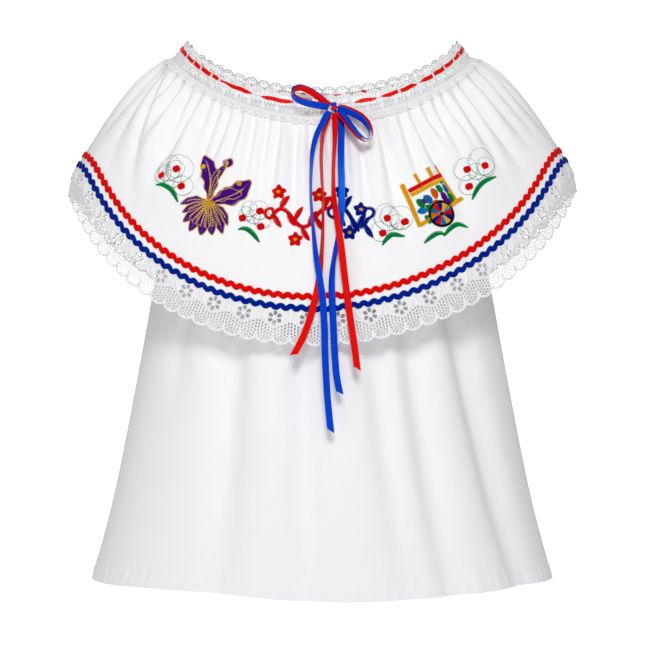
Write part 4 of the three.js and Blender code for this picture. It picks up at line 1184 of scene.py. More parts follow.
# %% The cart
CART_POSTS = [
    ((77, -131), (93, -172)), ((89, -121), (96, -134)),
    ((101, -115), (107, -127)), ((112, -110), (131, -146)),
]
CART_RAILS = [((83, -138), (118, -119)), ((85, -142), (119, -123.5)), ((93, -171), (136, -143))]
WHEEL, WHEEL_RADIUS = np.array([114.0, -159.5]), 11.8
SPOKES = "red sky gold blue red sky orange blue red sky gold blue".split()
SPOKE_HALF, SPOKE_THREADS = 2.4, 9
# The panel's leaves and petals: two ends, the width and the colour of each.
PANEL = [
    ((90, -147), (97, -154), 6, "green"), ((91, -158), (100, -157), 5.4, "sky"),
    ((97, -143), (104, -150), 6, "sky"), ((99, -152), (105, -159), 5.6, "green"),
    ((104, -136), (109, -145), 5.6, "orange"), ((109, -133), (115, -139), 5.4, "green"),
    ((111, -147), (105, -152), 5.2, "orange"), ((114, -139), (119, -147), 5.6, "purple"),
    ((117, -130), (122, -138), 5.4, "sky"), ((122, -138), (127, -147), 5.6, "green"),
    ((98, -162), (103, -169), 5, "green"), ((120, -145), (125, -150), 4.8, "purple"),
    ((93, -150), (101, -146), 4.6, "purple"), ((112, -128), (118, -127), 4.2, "green"),
]
# Each blade of grass: its curve and its width.
GRASS = [
    ([(97, -188), (105, -181), (112, -178), (118, -180)], 5),
    ([(116, -181), (123, -173), (131, -169), (140, -172)], 5.2),
]

for start, end in CART_POSTS:
    sew("gold", satin_line([start, end], 4.4))
for (start, end), colour in zip(CART_RAILS, ("red", "gold", "gold")):
    sew(colour, satin_line([start, end], 4, lift=0.4))
for start, end, width, colour in PANEL:
    bend = np.mean([start, end], 0) + [0.8, 0.6]
    sew(colour, satin_line(curve_through([start, bend, end]), 1.2 * width, lift=0.35, taper=1.0))
for number, colour in enumerate(SPOKES):
    a = 2 * math.pi * number / len(SPOKES) + 0.2
    way = np.array([math.cos(a), math.sin(a)])
    rim = WHEEL + (WHEEL_RADIUS - 0.8) * way
    aside = np.array([-way[1], way[0]])
    threads = np.linspace(-SPOKE_HALF, SPOKE_HALF, SPOKE_THREADS)[:, None]
    hub = WHEEL + 1.5 * way + 0.1 * threads * aside
    sew(colour, (hub, rim + threads * aside, THREAD_WIDTH, 0.6, 0.5))
sew("black", satin_line(circle(WHEEL, WHEEL_RADIUS), 2.4, lift=0.7))
sew("black", patch(WHEEL, (3.4, 3.4), lift=0.8))
for blade, width in GRASS:
    sew("green", satin_line(curve_through(blade), width, taper=1.0))

# %% [markdown]
# ### The middle band
# Between the sprigs runs a scroll of leaves and blossoms, red on one side of the hanging ribbons
# and blue on the other. Each is a wavy stem with leaves to either side by turns, three small
# blossoms, and a curl at each end.

# %% The middle band
SCROLL_HEIGHT, SCROLL_SWING = -164, 9
# Each side's colour, its ends, and the number of waves of its stem.
SCROLLS = [("red", -50, 4, 1.25), ("blue", 11, 44, 1)]
LEAF_SPACING, BLOSSOM_SIZE, BLOSSOM_AWAY = 7, 7, 17


def stem_point(x, start, end, waves):
    share = (x - start) / (end - start)
    return np.array([x, SCROLL_HEIGHT + SCROLL_SWING * math.sin(2 * math.pi * waves * share)])


def blossom(colour, heart, size):
    for a in np.arange(5) * 2 * math.pi / 5 + 0.3:
        way = np.array([math.cos(a), math.sin(a)])
        petal = [heart + 0.9 * way, heart + size * way]
        sew(colour, satin_line(petal, 0.8 * size, lift=0.2, taper=1.0))
    sew("gold", patch(heart, (3, 3), lift=0.7))


for colour, start, end, waves in SCROLLS:
    stem = [stem_point(x, start, end, waves) for x in np.linspace(start, end, 40)]
    sew(colour, satin_line(stem, 4.4))
    leaf_count = round((end - start) / LEAF_SPACING)
    for number in range(leaf_count):
        root = stem_point(start + (number + 0.5) * (end - start) / leaf_count, start, end, waves)
        up = 1 if number % 2 else -1
        bend = root + [2.4, 6 * up]
        tip = root + [7.5, 13 * up]
        sew(colour, satin_line(curve_through([root, bend, tip]), 6, taper=1.0))
    for x, side in ((start + 8, 1), (0.55 * start + 0.45 * end, -1), (end - 7, 1)):
        heart = stem_point(x, start, end, waves) + [0, side * BLOSSOM_AWAY]
        blossom(colour, heart, BLOSSOM_SIZE)
    for x, side in ((start, -1), (end, 1)):
        a = np.linspace(0, 1.6 * math.pi, 30)
        curl = np.stack([side * (7 - 0.9 * a) * np.sin(a), 6.5 - (6.5 - 0.9 * a) * np.cos(a)], -1)
        sew(colour, satin_line(stem_point(x, start, end, waves) + curl, 3.4))


# %% Embroidery thread
def embroidery_thread(name, colour):
    material, tree, shader = new_material(name, colour, 0.5)
    uv, _, _ = uv_parts(tree)
    strands = noise(tree, uv, (3000, 260, 1))
    dark = tuple(0.72 * c for c in colour)
    tint(tree, shader, strands, dark, colour)
    add_bump(tree, shader, strands, 0.0001, 0.6)
    shader.inputs["Specular IOR Level"].default_value = 0.5
    shader.inputs["Specular Tint"].default_value = (*colour, 1)
    return material


THREADS = {
    "green": (0.0, 0.35, 0.08),
    "pale": (0.015, 0.18, 0.08),
    "red": (0.85, 0.008, 0.01),
    "purple": (0.13, 0.01, 0.36),
    "gold": (0.96, 0.57, 0.012),
    "orange": (0.85, 0.2, 0.01),
    "sky": (0.01, 0.26, 0.62),
    "blue": (0.004, 0.02, 0.36),
    "black": (0.012, 0.012, 0.015),
}

for colour, runs in thread_runs.items():
    piece = stitch_mesh(f"embroidery_{colour}", runs, on_flounce)
    finish_piece(piece, embroidery_thread(f"{colour}_thread", THREADS[colour]), "embroidery")

# %% [markdown]
# ## Lace
# Lace is mostly its holes, so they are really open here. One repeat of the pattern is drawn flat,
# as an outline with its holes, and filled with triangles. The repeat is copied along the strip
# and only then laid on the blouse, so the pattern bends with the cloth.
# A see-through pattern on a plain strip would be lighter, but its holes would have no thickness.

# %% Helpers for lace
def inside(loop, points):
    """Whether points of the plane lie inside a closed loop."""
    loop = np.asarray(loop)
    after = np.roll(loop, -1, axis=0)
    x, y = points[:, 0, None], points[:, 1, None]
    spans = (loop[:, 1] > y) != (after[:, 1] > y)
    rise = np.where(after[:, 1] == loop[:, 1], 1, after[:, 1] - loop[:, 1])
    crossing = loop[:, 0] + (y - loop[:, 1]) * (after[:, 0] - loop[:, 0]) / rise
    return (spans & (x < crossing)).sum(1) % 2 == 1


def flat_repeat(contour, holes, guides, spacing):
    """Points and triangles of one repeat of lace, with its holes left open."""
    points, edges = [], []
    for line, closed in [(contour, 1), *((h, 1) for h in holes), *((g, 0) for g in guides)]:
        first, count = len(points), len(line)
        points += [tuple(p) for p in line]
        edges += [(first + i, first + (i + 1) % count) for i in range(count - 1 + closed)]
    known = np.array(points)
    low, high = np.min(contour, 0), np.max(contour, 0)
    rows = np.arange(low[1] + spacing / 2, high[1], spacing * 0.87)
    seeds = np.array([
        (x, y) for n, y in enumerate(rows)
        for x in np.arange(low[0] + spacing * (0.5 + 0.5 * (n % 2)), high[0], spacing)
    ])
    away = np.min(np.linalg.norm(seeds[:, None] - known[None], axis=-1), axis=1)
    keep = inside(contour, seeds) & (away > spacing * 0.45)
    for hole in holes:
        keep &= ~inside(hole, seeds)
    points += [tuple(p) for p in seeds[keep]]
    made, _, triangles, *_ = delaunay_2d_cdt(points, edges, [], 0, 1e-4)
    made, triangles = np.array(made), np.array(triangles)
    centres = made[triangles].mean(1)
    solid = inside(contour, centres)
    for hole in holes:
        solid &= ~inside(hole, centres)
    triangles = triangles[solid]
    a, b, c = (made[triangles[:, k]] for k in range(3))
    turned = (b - a)[:, 0] * (c - a)[:, 1] - (b - a)[:, 1] * (c - a)[:, 0] < 0
    triangles[turned] = triangles[turned][:, ::-1]
    return made, triangles


def copy_repeat(points, triangles, pitch, count):
    """The repeat copied side by side, its shared points joined."""
    shifts = np.arange(count)[:, None, None] * np.array([pitch, 0])
    strip = (points[None] + shifts).reshape(-1, 2)
    faces = (triangles[None] + np.arange(count)[:, None, None] * len(points)).reshape(-1, 3)
    _, first, joined = np.unique(np.round(strip, 3), axis=0, return_index=True, return_inverse=True)
    return strip[first], joined.ravel()[faces]


def lace_wall(name, strip, faces, middle, normal, wall, relief):
    """A closed wall of lace: the strip's front and back, and the rims of its edges and holes."""
    used, faces = np.unique(faces, return_inverse=True)
    faces = faces.reshape(-1, 3)
    strip, middle, normal, relief = strip[used], middle[used], normal[used], relief[used]
    directed = np.concatenate([faces[:, [0, 1]], faces[:, [1, 2]], faces[:, [2, 0]]])
    keys = directed[:, 0] * len(strip) + directed[:, 1]
    back_keys = directed[:, 1] * len(strip) + directed[:, 0]
    edge = directed[~np.isin(keys, back_keys)]
    count = len(strip)
    front = middle + normal * (wall / 2 + relief)[:, None]
    back = middle - normal * wall / 2
    rim_a = np.stack([edge[:, 1], edge[:, 0], edge[:, 0] + count], -1)
    rim_b = np.stack([edge[:, 1], edge[:, 0] + count, edge[:, 1] + count], -1)
    points = np.concatenate([front, back])
    all_faces = np.concatenate([faces, faces[:, ::-1] + count, rim_a, rim_b])
    uv = np.tile(strip, (2, 1))
    return new_piece(name, points, outside_out(points, all_faces), uv, crease=55)


def ring(centre, radii, corners, turn=0.0):
    """A closed round or oval loop, for a hole."""
    a = np.linspace(0, 2 * math.pi, corners, endpoint=False)
    x, y = radii[0] * np.cos(a), radii[1] * np.sin(a)
    c, s = math.cos(turn), math.sin(turn)
    return np.stack([centre[0] + c * x - s * y, centre[1] + s * x + c * y], -1)


def ridge(distance, half_width):
    return np.clip(1 - (distance / half_width) ** 2, 0, 1)


# %% Lace thread
def lace_thread(name, light, dark, stitch):
    material, tree, shader = new_material(name, light, 0.7)
    uv, across, along = uv_parts(tree)
    stitches = maths(tree, "MULTIPLY", wave(tree, across, stitch), wave(tree, along, stitch * 1.4))
    worn = noise(tree, uv, (1500, 1500, 1))
    tint(tree, shader, worn, dark, light)
    stitched = maths(tree, "MULTIPLY", stitches, 0.5)
    height = maths(tree, "ADD", stitched, maths(tree, "MULTIPLY", worn, 1.2))
    add_bump(tree, shader, height, 0.00022, 0.7)
    shader.inputs["Specular IOR Level"].default_value = 0.15
    return material


white_lace = lace_thread("white_lace", (0.92, 0.92, 0.93), (0.8, 0.8, 0.82), 0.0009)

# %% [markdown]
# ### The hem lace
# Each repeat has a half-round medallion with a flower of six petals cut out of it and a raised
# edge round it. Below it an open net runs down into two scallops with a firm edge. The net's
# holes stand in columns that draw together towards each scallop's tip.

# %% One repeat of the hem lace
HEM_LACE_WALL = 0.55
SCALLOP_VALLEY = 3.4
FLOWER_DOWN, FLOWER_RING, PETAL_LENGTH, PETAL_WIDTH = 11.0, 4.6, 4.7, 3.7
MEDALLION_TOP, MEDALLION_RADIUS = 3.5, 13.5
# The net: its columns and rows apart, how much it draws in below, the half sizes of a hole, and
# how far the holes stay clear of the medallion and the scalloped edge.
NET_COLUMN, NET_ROW, NET_DRAW = 2.95, 3.1, 0.34
NET_HOLE, CLEAR_OF_MEDALLION, CLEAR_OF_EDGE = (0.98, 1.22), 2.5, 2.9


def scallop_edge(share):
    """How far down the lace's edge is at a share of one scallop."""
    return HEM_LACE_WIDTH - SCALLOP_VALLEY * (1 - np.sin(np.pi * share) ** 0.7)


def hem_lace_repeat(pitch):
    half = pitch / 2
    sides = np.array([0.3, 5, 10, 15, 20, 25, 29])
    top = [(x, 0.3) for x in np.linspace(0, pitch, 9)]
    right = [(pitch, y) for y in sides[1:]]
    shares = np.linspace(0, 1, 11)
    bottom = [(start + (1 - s) * half, scallop_edge(s)) for start in (half, 0) for s in shares]
    bottom = bottom[:11] + bottom[12:]
    left = [(0, y) for y in sides[:0:-1]]
    contour = np.array(top + right + bottom + left)

    holes = []
    centre = np.array([half, FLOWER_DOWN])
    for turn in np.arange(6) * math.pi / 3:
        radial = np.array([math.sin(turn), math.cos(turn)])
        aside = np.array([radial[1], -radial[0]])
        a = np.linspace(0, 2 * math.pi, 11, endpoint=False)[:, None]
        out = FLOWER_RING + 0.5 * PETAL_LENGTH * np.cos(a)
        swell = 0.5 * PETAL_WIDTH * np.sin(a) * (1 + 0.22 * np.cos(a))
        holes.append(centre + radial * out + aside * swell)

    medallion = np.array([half, MEDALLION_TOP])
    edge_line = np.array(bottom)
    for scallop in (0.5, 1.5):
        for column in (-2, -1, 0, 1, 2):
            for y in np.arange(6.2 + NET_ROW / 2 * (column % 2), 34, NET_ROW):
                draw = 1 - NET_DRAW * smoothstep(y, 23, 34)
                x = scallop * half + column * NET_COLUMN * draw
                clear = np.linalg.norm([x - medallion[0], y - medallion[1]]) - MEDALLION_RADIUS
                below = np.min(np.linalg.norm(edge_line - (x, y), axis=1))
                if clear > CLEAR_OF_MEDALLION and below > CLEAR_OF_EDGE:
                    holes.append(ring((x, y), NET_HOLE, 8))

    guides = []
    for radius in (MEDALLION_RADIUS - 1.2, MEDALLION_RADIUS, MEDALLION_RADIUS + 1.2):
        a = np.radians(np.linspace(-8, 188, 27))
        arc = medallion + radius * np.stack([np.cos(a), np.sin(a)], -1)
        guides.append(arc[(arc[:, 1] > 0.9) & (arc[:, 0] > 0.2) & (arc[:, 0] < pitch - 0.2)])
    for inset in (1.1, 2.1):
        for start in (0, half):
            s = np.linspace(0.08, 0.92, 8)
            guides.append(np.stack([start + s * half, scallop_edge(s) - inset], -1))
    return flat_repeat(contour, holes, guides, 2.6)


def hem_lace_relief(strip, pitch):
    """How far the sewn edges and the flower stand out of the lace."""
    x, y = strip[:, 0] % pitch, strip[:, 1]
    from_medallion = np.hypot(x - pitch / 2, y - MEDALLION_TOP) - MEDALLION_RADIUS
    from_flower = np.hypot(x - pitch / 2, y - FLOWER_DOWN)
    from_edge = scallop_edge((2 * x / pitch) % 1) - y
    relief = 0.95 * ridge(from_medallion, 1.3) + 0.3 * smoothstep(-from_flower, -8.2, -7.2)
    return relief + 0.6 * ridge(from_edge - 1.1, 1.2)


# %% The hem lace on the blouse
def hem_lace(side):
    start, end = PANELS[side]
    total, azimuth_at = even_azimuths(lambda a: hem_point(a, 0), start, end)
    pitch = total / HEM_LACE_REPEATS
    points, triangles = hem_lace_repeat(pitch)
    strip, faces = copy_repeat(points, triangles, pitch, HEM_LACE_REPEATS)
    relief = hem_lace_relief(strip, pitch)
    azimuths = azimuth_at(strip[:, 0] / total)
    middle = hem_point(azimuths, strip[:, 1])
    normal = surface_normal(hem_point, azimuths, np.maximum(strip[:, 1], 2), 1.0)
    wave_out = 0.5 * np.sin(4 * np.pi * strip[:, 0] / pitch) * smoothstep(strip[:, 1], 12, 36)
    middle = middle + normal * wave_out[:, None]
    piece = lace_wall(f"hem_lace_{side}", strip, faces, middle, normal, HEM_LACE_WALL, relief)
    finish_piece(piece, white_lace, "lace", f"flounce_lace_{side}")
    print(side, "hem lace", round(total), "mm long, repeat", round(pitch, 1), "mm")


for side in PANELS:
    hem_lace(side)

# %% [markdown]
# ### The neck lace
# This edging stands up from the seam. Each scallop is an arch with two windows and a ring of
# eyelets. Below the arches are rows of tiny holes, where the ribbon runs, and two bands of
# zigzag net. A thick edge of small loops is sewn down over the gathers.

# %% One repeat of the neck lace
NECK_LACE_WALL = 0.5
NECK_VALLEY = 3.6
ARCH_UP, ARCH_RADIUS = 18.0, 6.6
# The zigzag net's two bands, each from its lower to its upper line.
NET_BANDS = [(2.2, 6.6), (7.2, 11.6)]
NET_THREAD = 0.4
# The ring of eyelets: its radius and where they stand on it, in degrees. The windows: how far
# apart and above the arch's centre. The rows of tiny holes: their heights and how many in each.
EYELET_RING, EYELETS = 4.9, (12, 43, 74, 106, 137, 168)
WINDOW_SIDE, WINDOW_UP = 1.65, 1.2
TINY_ROWS, TINY_HOLES = (13.3, 15.1, 16.7), 6
# The width that the pattern is drawn for, before it is fitted to the neck.
DRAWN_PITCH = 14.5


def arch_edge(share):
    """How high the lace's top is at a share of one scallop."""
    return NECK_LACE_WIDTH - NECK_VALLEY * (1 - np.sin(np.pi * share) ** 0.6)


def zigzag_holes(pitch, low, high, flipped):
    """The triangular openings of one band of the net, between posts at the repeat's ends."""
    base, tip = (high, low) if flipped else (low, high)
    near_tip = tip + 0.9 * np.sign(base - tip)
    near_base = base + 0.9 * np.sign(tip - base)
    width = pitch / 4
    holes = []
    for k in range(7):
        x = k * width / 2
        wide, narrow = (tip, near_base) if k % 2 else (base, near_tip)
        corners = [(x + NET_THREAD, wide), (x + width - NET_THREAD, wide), (x + width / 2, narrow)]
        holes.append(np.array(corners))
    return holes


def neck_lace_repeat(pitch):
    sides = np.array([0.4, 3, 6.9, 10, 13.5, 17, 20])
    low = [(x, 0.4) for x in np.linspace(0, pitch, 7)]
    right = [(pitch, y) for y in sides[1:]]
    shares = np.linspace(0, 1, 13)
    top = [((1 - s) * pitch, arch_edge(s)) for s in shares]
    left = [(0, y) for y in sides[:0:-1]]
    contour = np.array(low + right + top + left)
    middle, stretch = pitch / 2, pitch / DRAWN_PITCH
    holes = []
    for turn in np.radians(EYELETS):
        aside, up = EYELET_RING * math.cos(turn) * stretch, EYELET_RING * math.sin(turn)
        holes.append(ring((middle + aside, ARCH_UP + up), (0.85, 0.72), 8, turn))
    for side in (-1, 1):
        centre = (middle + side * WINDOW_SIDE, ARCH_UP + WINDOW_UP)
        holes.append(ring(centre, (1.25, 1.75), 10))
    for row, y in enumerate(TINY_ROWS):
        for k in range(TINY_HOLES):
            x = (k + 0.5 + 0.25 * (row % 2)) * pitch / (TINY_HOLES + 0.4)
            holes.append(ring((x, y), (0.62, 0.5), 6))
    for number, (low_line, high_line) in enumerate(NET_BANDS):
        holes += zigzag_holes(pitch, low_line, high_line, number == 1)
    guides = []
    for radius in (ARCH_RADIUS - 0.2, ARCH_RADIUS - 3.0):
        a = np.radians(np.linspace(4, 176, 15))
        arc = np.stack([middle + radius * np.cos(a) * stretch, ARCH_UP + radius * np.sin(a)], -1)
        guides.append(arc)
    return flat_repeat(contour, holes, guides, 2.4)


def neck_lace_relief(strip, pitch):
    x, y = strip[:, 0] % pitch, strip[:, 1]
    from_arch = np.hypot((x - pitch / 2) * DRAWN_PITCH / pitch, y - ARCH_UP)
    from_top = arch_edge(x / pitch) - y
    relief = 0.3 * ridge(from_top - 0.6, 0.9) + 0.25 * ridge(from_arch - ARCH_RADIUS + 2.9, 0.9)
    return relief + 0.25 * ridge(y - 12.3, 0.8) + 0.25 * ridge(y - 6.9, 0.7)


def neck_lace(side):
    start, end = PANELS[side]
    total, azimuth_at = even_azimuths(lambda a: neck_lace_point(a, np.zeros_like(a)), start, end)
    pitch = total / NECK_LACE_SCALLOPS
    points, triangles = neck_lace_repeat(pitch)
    strip, faces = copy_repeat(points, triangles, pitch, NECK_LACE_SCALLOPS)
    azimuths = azimuth_at(strip[:, 0] / total)
    middle = neck_lace_point(azimuths, strip[:, 1])
    waver = 0.7 * np.sin(azimuths * 0.41) + 0.6 * np.sin(azimuths * 0.23 + 1)
    middle = middle + outward(azimuths) * (waver * smoothstep(strip[:, 1], 12, 25))[:, None]
    relief = neck_lace_relief(strip, pitch)
    name = f"neck_lace_{side}_scallops"
    piece = lace_wall(name, strip, faces, middle, outward(azimuths), NECK_LACE_WALL, relief)
    finish_piece(piece, white_lace, "lace", f"neck_lace_{side}")
    print(side, "neck lace", round(total), "mm long, scallop", round(pitch, 1), "mm")


for side in PANELS:
    neck_lace(side)


# %% The lace's sewn edge
EDGE_UP, EDGE_DOWN, EDGE_LOOP, EDGE_VALLEY = 2.6, 6.2, 10.5, 2.4
# The holes of one loop, each as a share of its width and millimetres down.
EDGE_HOLES = [(0.3, 2.2), (0.7, 2.2), (0.5, 3.9), (0.5, 0.6), (0.14, 0.4), (0.86, 0.4)]
EDGE_OUT = 0.9


def over_seam(azimuth, down):
    """A point that lies on the lace above the seam, and on the flounce below it."""
    length = np.linalg.norm(flounce_hem_point(azimuth) - neck_point(azimuth), axis=-1)
    above = neck_lace_point(azimuth, np.maximum(-down, 0)) + outward(azimuth) * EDGE_OUT
    below = flounce_cloth(azimuth, np.maximum(down, 0) / length)
    bridge = smoothstep(down, -1.5, 1.0)[..., None]
    return lerp(above, below + outward(azimuth) * EDGE_OUT, bridge)


def sewn_edge(side):
    start, end = PANELS[side]
    total, azimuth_at = even_azimuths(neck_point, start, end)
    count = round(total / EDGE_LOOP)
    pitch = total / count
    shares = np.linspace(0, 1, 9)
    drop = EDGE_DOWN - EDGE_VALLEY * (1 - np.abs(np.sin(np.pi * shares)) ** 0.6)
    low = list(zip(shares * pitch, drop))
    top = [(s * pitch, -EDGE_UP) for s in (1, 0.75, 0.5, 0.25, 0)]
    contour = np.array([*low, (pitch, 0.5), *top, (0, 0.5)])
    holes = [ring((pitch * s, y), (0.62, 0.8), 7) for s, y in EDGE_HOLES]
    points, triangles = flat_repeat(contour, holes, [], 2.0)
    strip, faces = copy_repeat(points, triangles, pitch, count)
    azimuths = azimuth_at(strip[:, 0] / total)
    middle = over_seam(azimuths, strip[:, 1])
    cord = 0.45 * ridge(strip[:, 1] - 4.6, 1.6)
    beads = 0.2 * np.sin(6 * np.pi * strip[:, 0] / pitch) ** 2
    name = f"neck_edge_{side}"
    piece = lace_wall(name, strip, faces, middle, outward(azimuths), NECK_LACE_WALL, cord + beads)
    finish_piece(piece, white_lace, "lace")


for side in PANELS:
    sewn_edge(side)

# %% [markdown]
# ### The neck ribbon
# The ribbon runs along the rows of tiny holes. It shows in long stitches and hides behind the
# lace in short ones. The stitches are uneven, as a hand pulls them.
# It is one long band, moved before and behind the lace by turns. Where it changes sides it goes
# through the wall of the lace, and not always through a hole, which is too small to see.

# %% The threaded ribbon
# The middle and the half length, in degrees, of each place where the ribbon is behind the lace.
HIDDEN = [
    (-81, 0.5), (-70.5, 0.3), (-62.6, 0.2), (-56.3, 0.2), (-48.9, 0.25), (-44, 0.2), (-26, 1.7),
    (-9.5, 1.3), (9, 3.2), (22, 0.7), (31, 0.2), (40.5, 0.7), (49, 0.2), (57, 0.2), (65.5, 0.3),
    (73, 0.4), (82, 0.5), (97, 1.6), (111, 0.6), (124, 1.2), (137, 0.4), (149, 1.6), (163, 0.6),
    (174, 1.8), (188, 0.5), (201, 1.6), (214, 0.5), (227, 1.2), (240, 0.4), (252, 1.2),
    (264, 0.6),
]
# Where the ribbon is folded narrow: the middle, the half length in degrees, and what it loses.
PINCHED = [
    (-41.5, 3.5, 0.55), (22, 2, 0.5), (-68, 5, 0.25), (66, 6, 0.25), (130, 4, 0.4), (205, 5, 0.4),
]
# How far before and behind the lace it runs, and the degrees that it takes to change sides.
THREADED_LIFT, HIDING_TURN = 0.95, 0.5
# The ribbon is drawn narrow by the lace, and narrower where it goes behind for a long stitch.
THREADED_WIDTH, LONG_STITCH, TAPER_SHARE, TAPER_TURN = 4.0, 0.6, 0.7, 3.2


def neck_ribbon(side):
    start, end = PANELS[side]
    azimuths = np.linspace(start, end, 1081)
    behind = sum(
        smoothstep(-np.abs(azimuths - at), -half - HIDING_TURN, -half) for at, half in HIDDEN
    )
    lift = lerp(THREADED_LIFT, -THREADED_LIFT, np.clip(behind, 0, 1))
    waver = 0.3 * np.sin(azimuths * 0.9) * (1 - behind)
    ups = np.full_like(azimuths, RIBBON_UP) + waver
    line = neck_lace_point(azimuths, ups) + outward(azimuths) * lift[:, None]
    widthwise = neck_lace_point(azimuths, ups + 1) - neck_lace_point(azimuths, ups)
    lost = sum(share * valley(azimuths, at, half) for at, half, share in PINCHED)
    for at, half in HIDDEN:
        if half > LONG_STITCH:
            near = 1 - smoothstep(np.abs(azimuths - at) - half, 0.0, TAPER_TURN)
            lost = np.maximum(lost, TAPER_SHARE * near)
    width = THREADED_WIDTH * (1 - lost)
    name = f"neck_ribbon_{side}"
    piece = ribbon_mesh(name + "_satin", line, widthwise, width=width, wall=0.3, cup=0.25)
    finish_piece(piece, SATINS["red"], "red_ribbon", name)


for side in PANELS:
    neck_ribbon(side)

# %% [markdown]
# ### Rickrack
# Rickrack is a flat braid woven so that its edges pull in by turns, which throws it into waves.
# It keeps its width round each bend and is thicker in the middle than at its edges. Two rows
# cover the join of the flounce and the lace.
# One wave copied along a curve would repeat as exactly. A formula also keeps the braid on the
# cloth all the way round.

# %% Braid
def braid(name, dark, light):
    material, tree, shader = new_material(name, light, 0.55)
    uv, across, along = uv_parts(tree)
    cords = wave(tree, across, 0.00085)
    plait = wave(tree, maths(tree, "ADD", along, maths(tree, "ABSOLUTE", across)), 0.0011)
    height = maths(tree, "ADD", cords, maths(tree, "MULTIPLY", plait, 0.7))
    # The colour follows the height of the cords and the plait, so the grooves between them are
    # darker: painted shade.
    share = maths(tree, "ADD", maths(tree, "MULTIPLY", height, 0.2), 0.5)
    tint(tree, shader, share, dark, light)
    add_bump(tree, shader, height, 0.0002, 0.7)
    shader.inputs["Specular IOR Level"].default_value = 0.5
    shader.inputs["Specular Tint"].default_value = (*light, 1)
    return material


red_braid = braid("red_braid", (0.66, 0.0, 0.0), (0.95, 0.006, 0.004))
blue_braid = braid("blue_braid", (0.0, 0.01, 0.17), (0.0, 0.022, 0.38))

# %% The two rows of rickrack
BRAID_WIDTH, BRAID_HEIGHT, BRAID_SWING = 5.1, 1.1, 1.15
BRAID_BACK, BRAID_FRONT = 0.45, 0.55
# How much the braid leans with its wave. At 1 its bends would pinch.
BRAID_LEAN = 0.7
# Each row's place up or down from the hem, the length of its wave, and its material.
BRAID_ROWS = {"red": (-11, 9.2, red_braid), "blue": (0, 9.8, blue_braid)}


def rickrack(colour, side):
    centre, wave_length, material = BRAID_ROWS[colour]
    start, end = PANELS[side]
    total, azimuth_at = even_azimuths(lambda a: hem_point(a, centre), start, end)
    waves = round(total / wave_length)
    lengths = np.linspace(0, total, waves * 16 + 1)
    turn = 2 * np.pi * waves * lengths / total
    swing = BRAID_SWING * np.cos(turn)
    slope = -BRAID_LEAN * BRAID_SWING * 2 * np.pi * waves / total * np.sin(turn)
    size = np.hypot(1, slope)
    shares = np.array([-1, -0.86, -0.5, 0, 0.5, 0.86, 1])
    reach = shares * BRAID_WIDTH / 2
    s = lengths[:, None] - (slope / size)[:, None] * reach
    down = centre + swing[:, None] + reach / size[:, None]
    azimuths = azimuth_at(s / total)
    base = hem_point(azimuths, down)
    middles = azimuth_at(lengths / total)
    normal = surface_normal(hem_point, middles, centre + 0 * lengths, 1.0)[:, None]
    top = BRAID_HEIGHT * (1 - 0.75 * shares**2)
    outer = base + normal * (BRAID_FRONT + top)[None, :, None]
    inner = base + normal * BRAID_BACK
    points, faces = shell(outer, inner)
    u, v = np.meshgrid(reach, lengths)
    uv = np.tile(np.stack([u.ravel(), v.ravel()], -1), (2, 1))
    name = f"rickrack_{colour}_{side}"
    piece = new_piece(name + "_braid", points, outside_out(points, faces), uv, crease=60)
    finish_piece(piece, material, f"{colour}_braid", name)
    print(name, waves, "waves")


for colour in BRAID_ROWS:
    for side in PANELS:
        rickrack(colour, side)

# %% [markdown]
# ## Light and floor
# A pale floor curves up into a pale backdrop that glows behind the blouse. The main light is soft
# and stands in front and above. A weak one at the left and a weak one overhead fill its shadows,
# so the folds of the white cloth show as pale greys.

# %% Floor
FLOOR_HEIGHT, WALL, BEND = -0.62, 3.7, 0.8
FLOOR_FRONT, WALL_TOP, WALL_HALF = -3.0, 2.2, 1.7
# The backdrop glows behind the blouse and not under it: from and to where, and how much.
GLOW = (-0.05, 0.3, 0.1, 0.85)


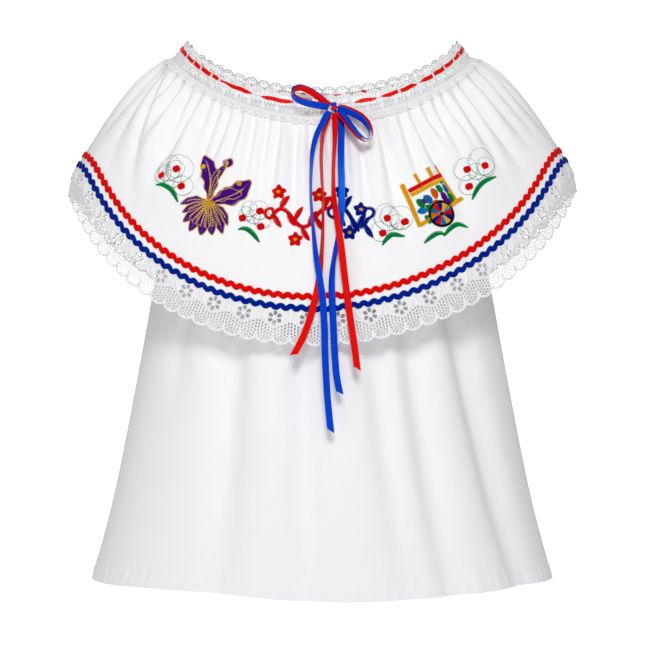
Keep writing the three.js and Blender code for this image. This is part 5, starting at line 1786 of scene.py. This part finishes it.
def backdrop():
    profile = [(FLOOR_FRONT, 0), (0, 0), (WALL - BEND, 0)]
    turns = np.radians(np.arange(10, 91, 10))
    profile += [(WALL - BEND + BEND * math.sin(a), BEND - BEND * math.cos(a)) for a in turns]
    profile += [(WALL, WALL_TOP)]
    across = np.linspace(-WALL_HALF, WALL_HALF, 3)
    points = [[(x / MM, y / MM, (FLOOR_HEIGHT + z) / MM) for x in across] for y, z in profile]
    points = np.array(points)
    _, faces = grid_faces(*points.shape[:2])
    piece = new_piece("backdrop", points.reshape(-1, 3), faces[:, ::-1])
    material, tree, shader = new_material("backdrop_white", (0.97, 0.97, 0.97), 0.9)
    shader.inputs["Specular IOR Level"].default_value = 0.0
    shader.inputs["Emission Color"].default_value = (1, 1, 1, 1)
    where = node(tree, "ShaderNodeTexCoord")
    parts = node(tree, "ShaderNodeSeparateXYZ")
    glow = node(tree, "ShaderNodeMapRange")
    for socket, value in zip(("From Min", "From Max", "To Min", "To Max"), GLOW):
        glow.inputs[socket].default_value = value
    tree.links.new(where.outputs["Object"], parts.inputs[0])
    tree.links.new(parts.outputs["Y"], glow.inputs["Value"])
    tree.links.new(glow.outputs[0], shader.inputs["Emission Strength"])
    piece.data.materials.append(material)


backdrop()


# %% Lights
def area_light(name, place, target, size, power):
    bpy.ops.object.light_add(type="AREA", location=place)
    light = bpy.context.object
    light.name = name
    light.data.size = size
    light.data.energy = power
    direction = np.array(target) - np.array(place)
    yaw = math.atan2(direction[0], direction[1])
    pitch = math.atan2(direction[2], math.hypot(direction[0], direction[1]))
    light.rotation_euler = (math.pi / 2 + pitch, 0, -yaw)


LIGHT_SIZE = 0.8
area_light("key", (0.1, -2.4, 1.35), (0, 0, -0.2), LIGHT_SIZE, 46)
area_light("fill", (-1.8, -1.7, 0.1), (0, 0, -0.3), LIGHT_SIZE, 5)
area_light("top", (0.1, 0.2, 1.9), (0, 0, -0.3), LIGHT_SIZE, 3)

world = bpy.data.worlds.new("white_room")
bpy.context.scene.world = world
world.use_nodes = True
sky = world.node_tree.nodes["Background"]
sky.inputs["Color"].default_value = (1, 1, 1, 1)
sky.inputs["Strength"].default_value = 0.24
bpy.context.scene.view_settings.view_transform = "Standard"
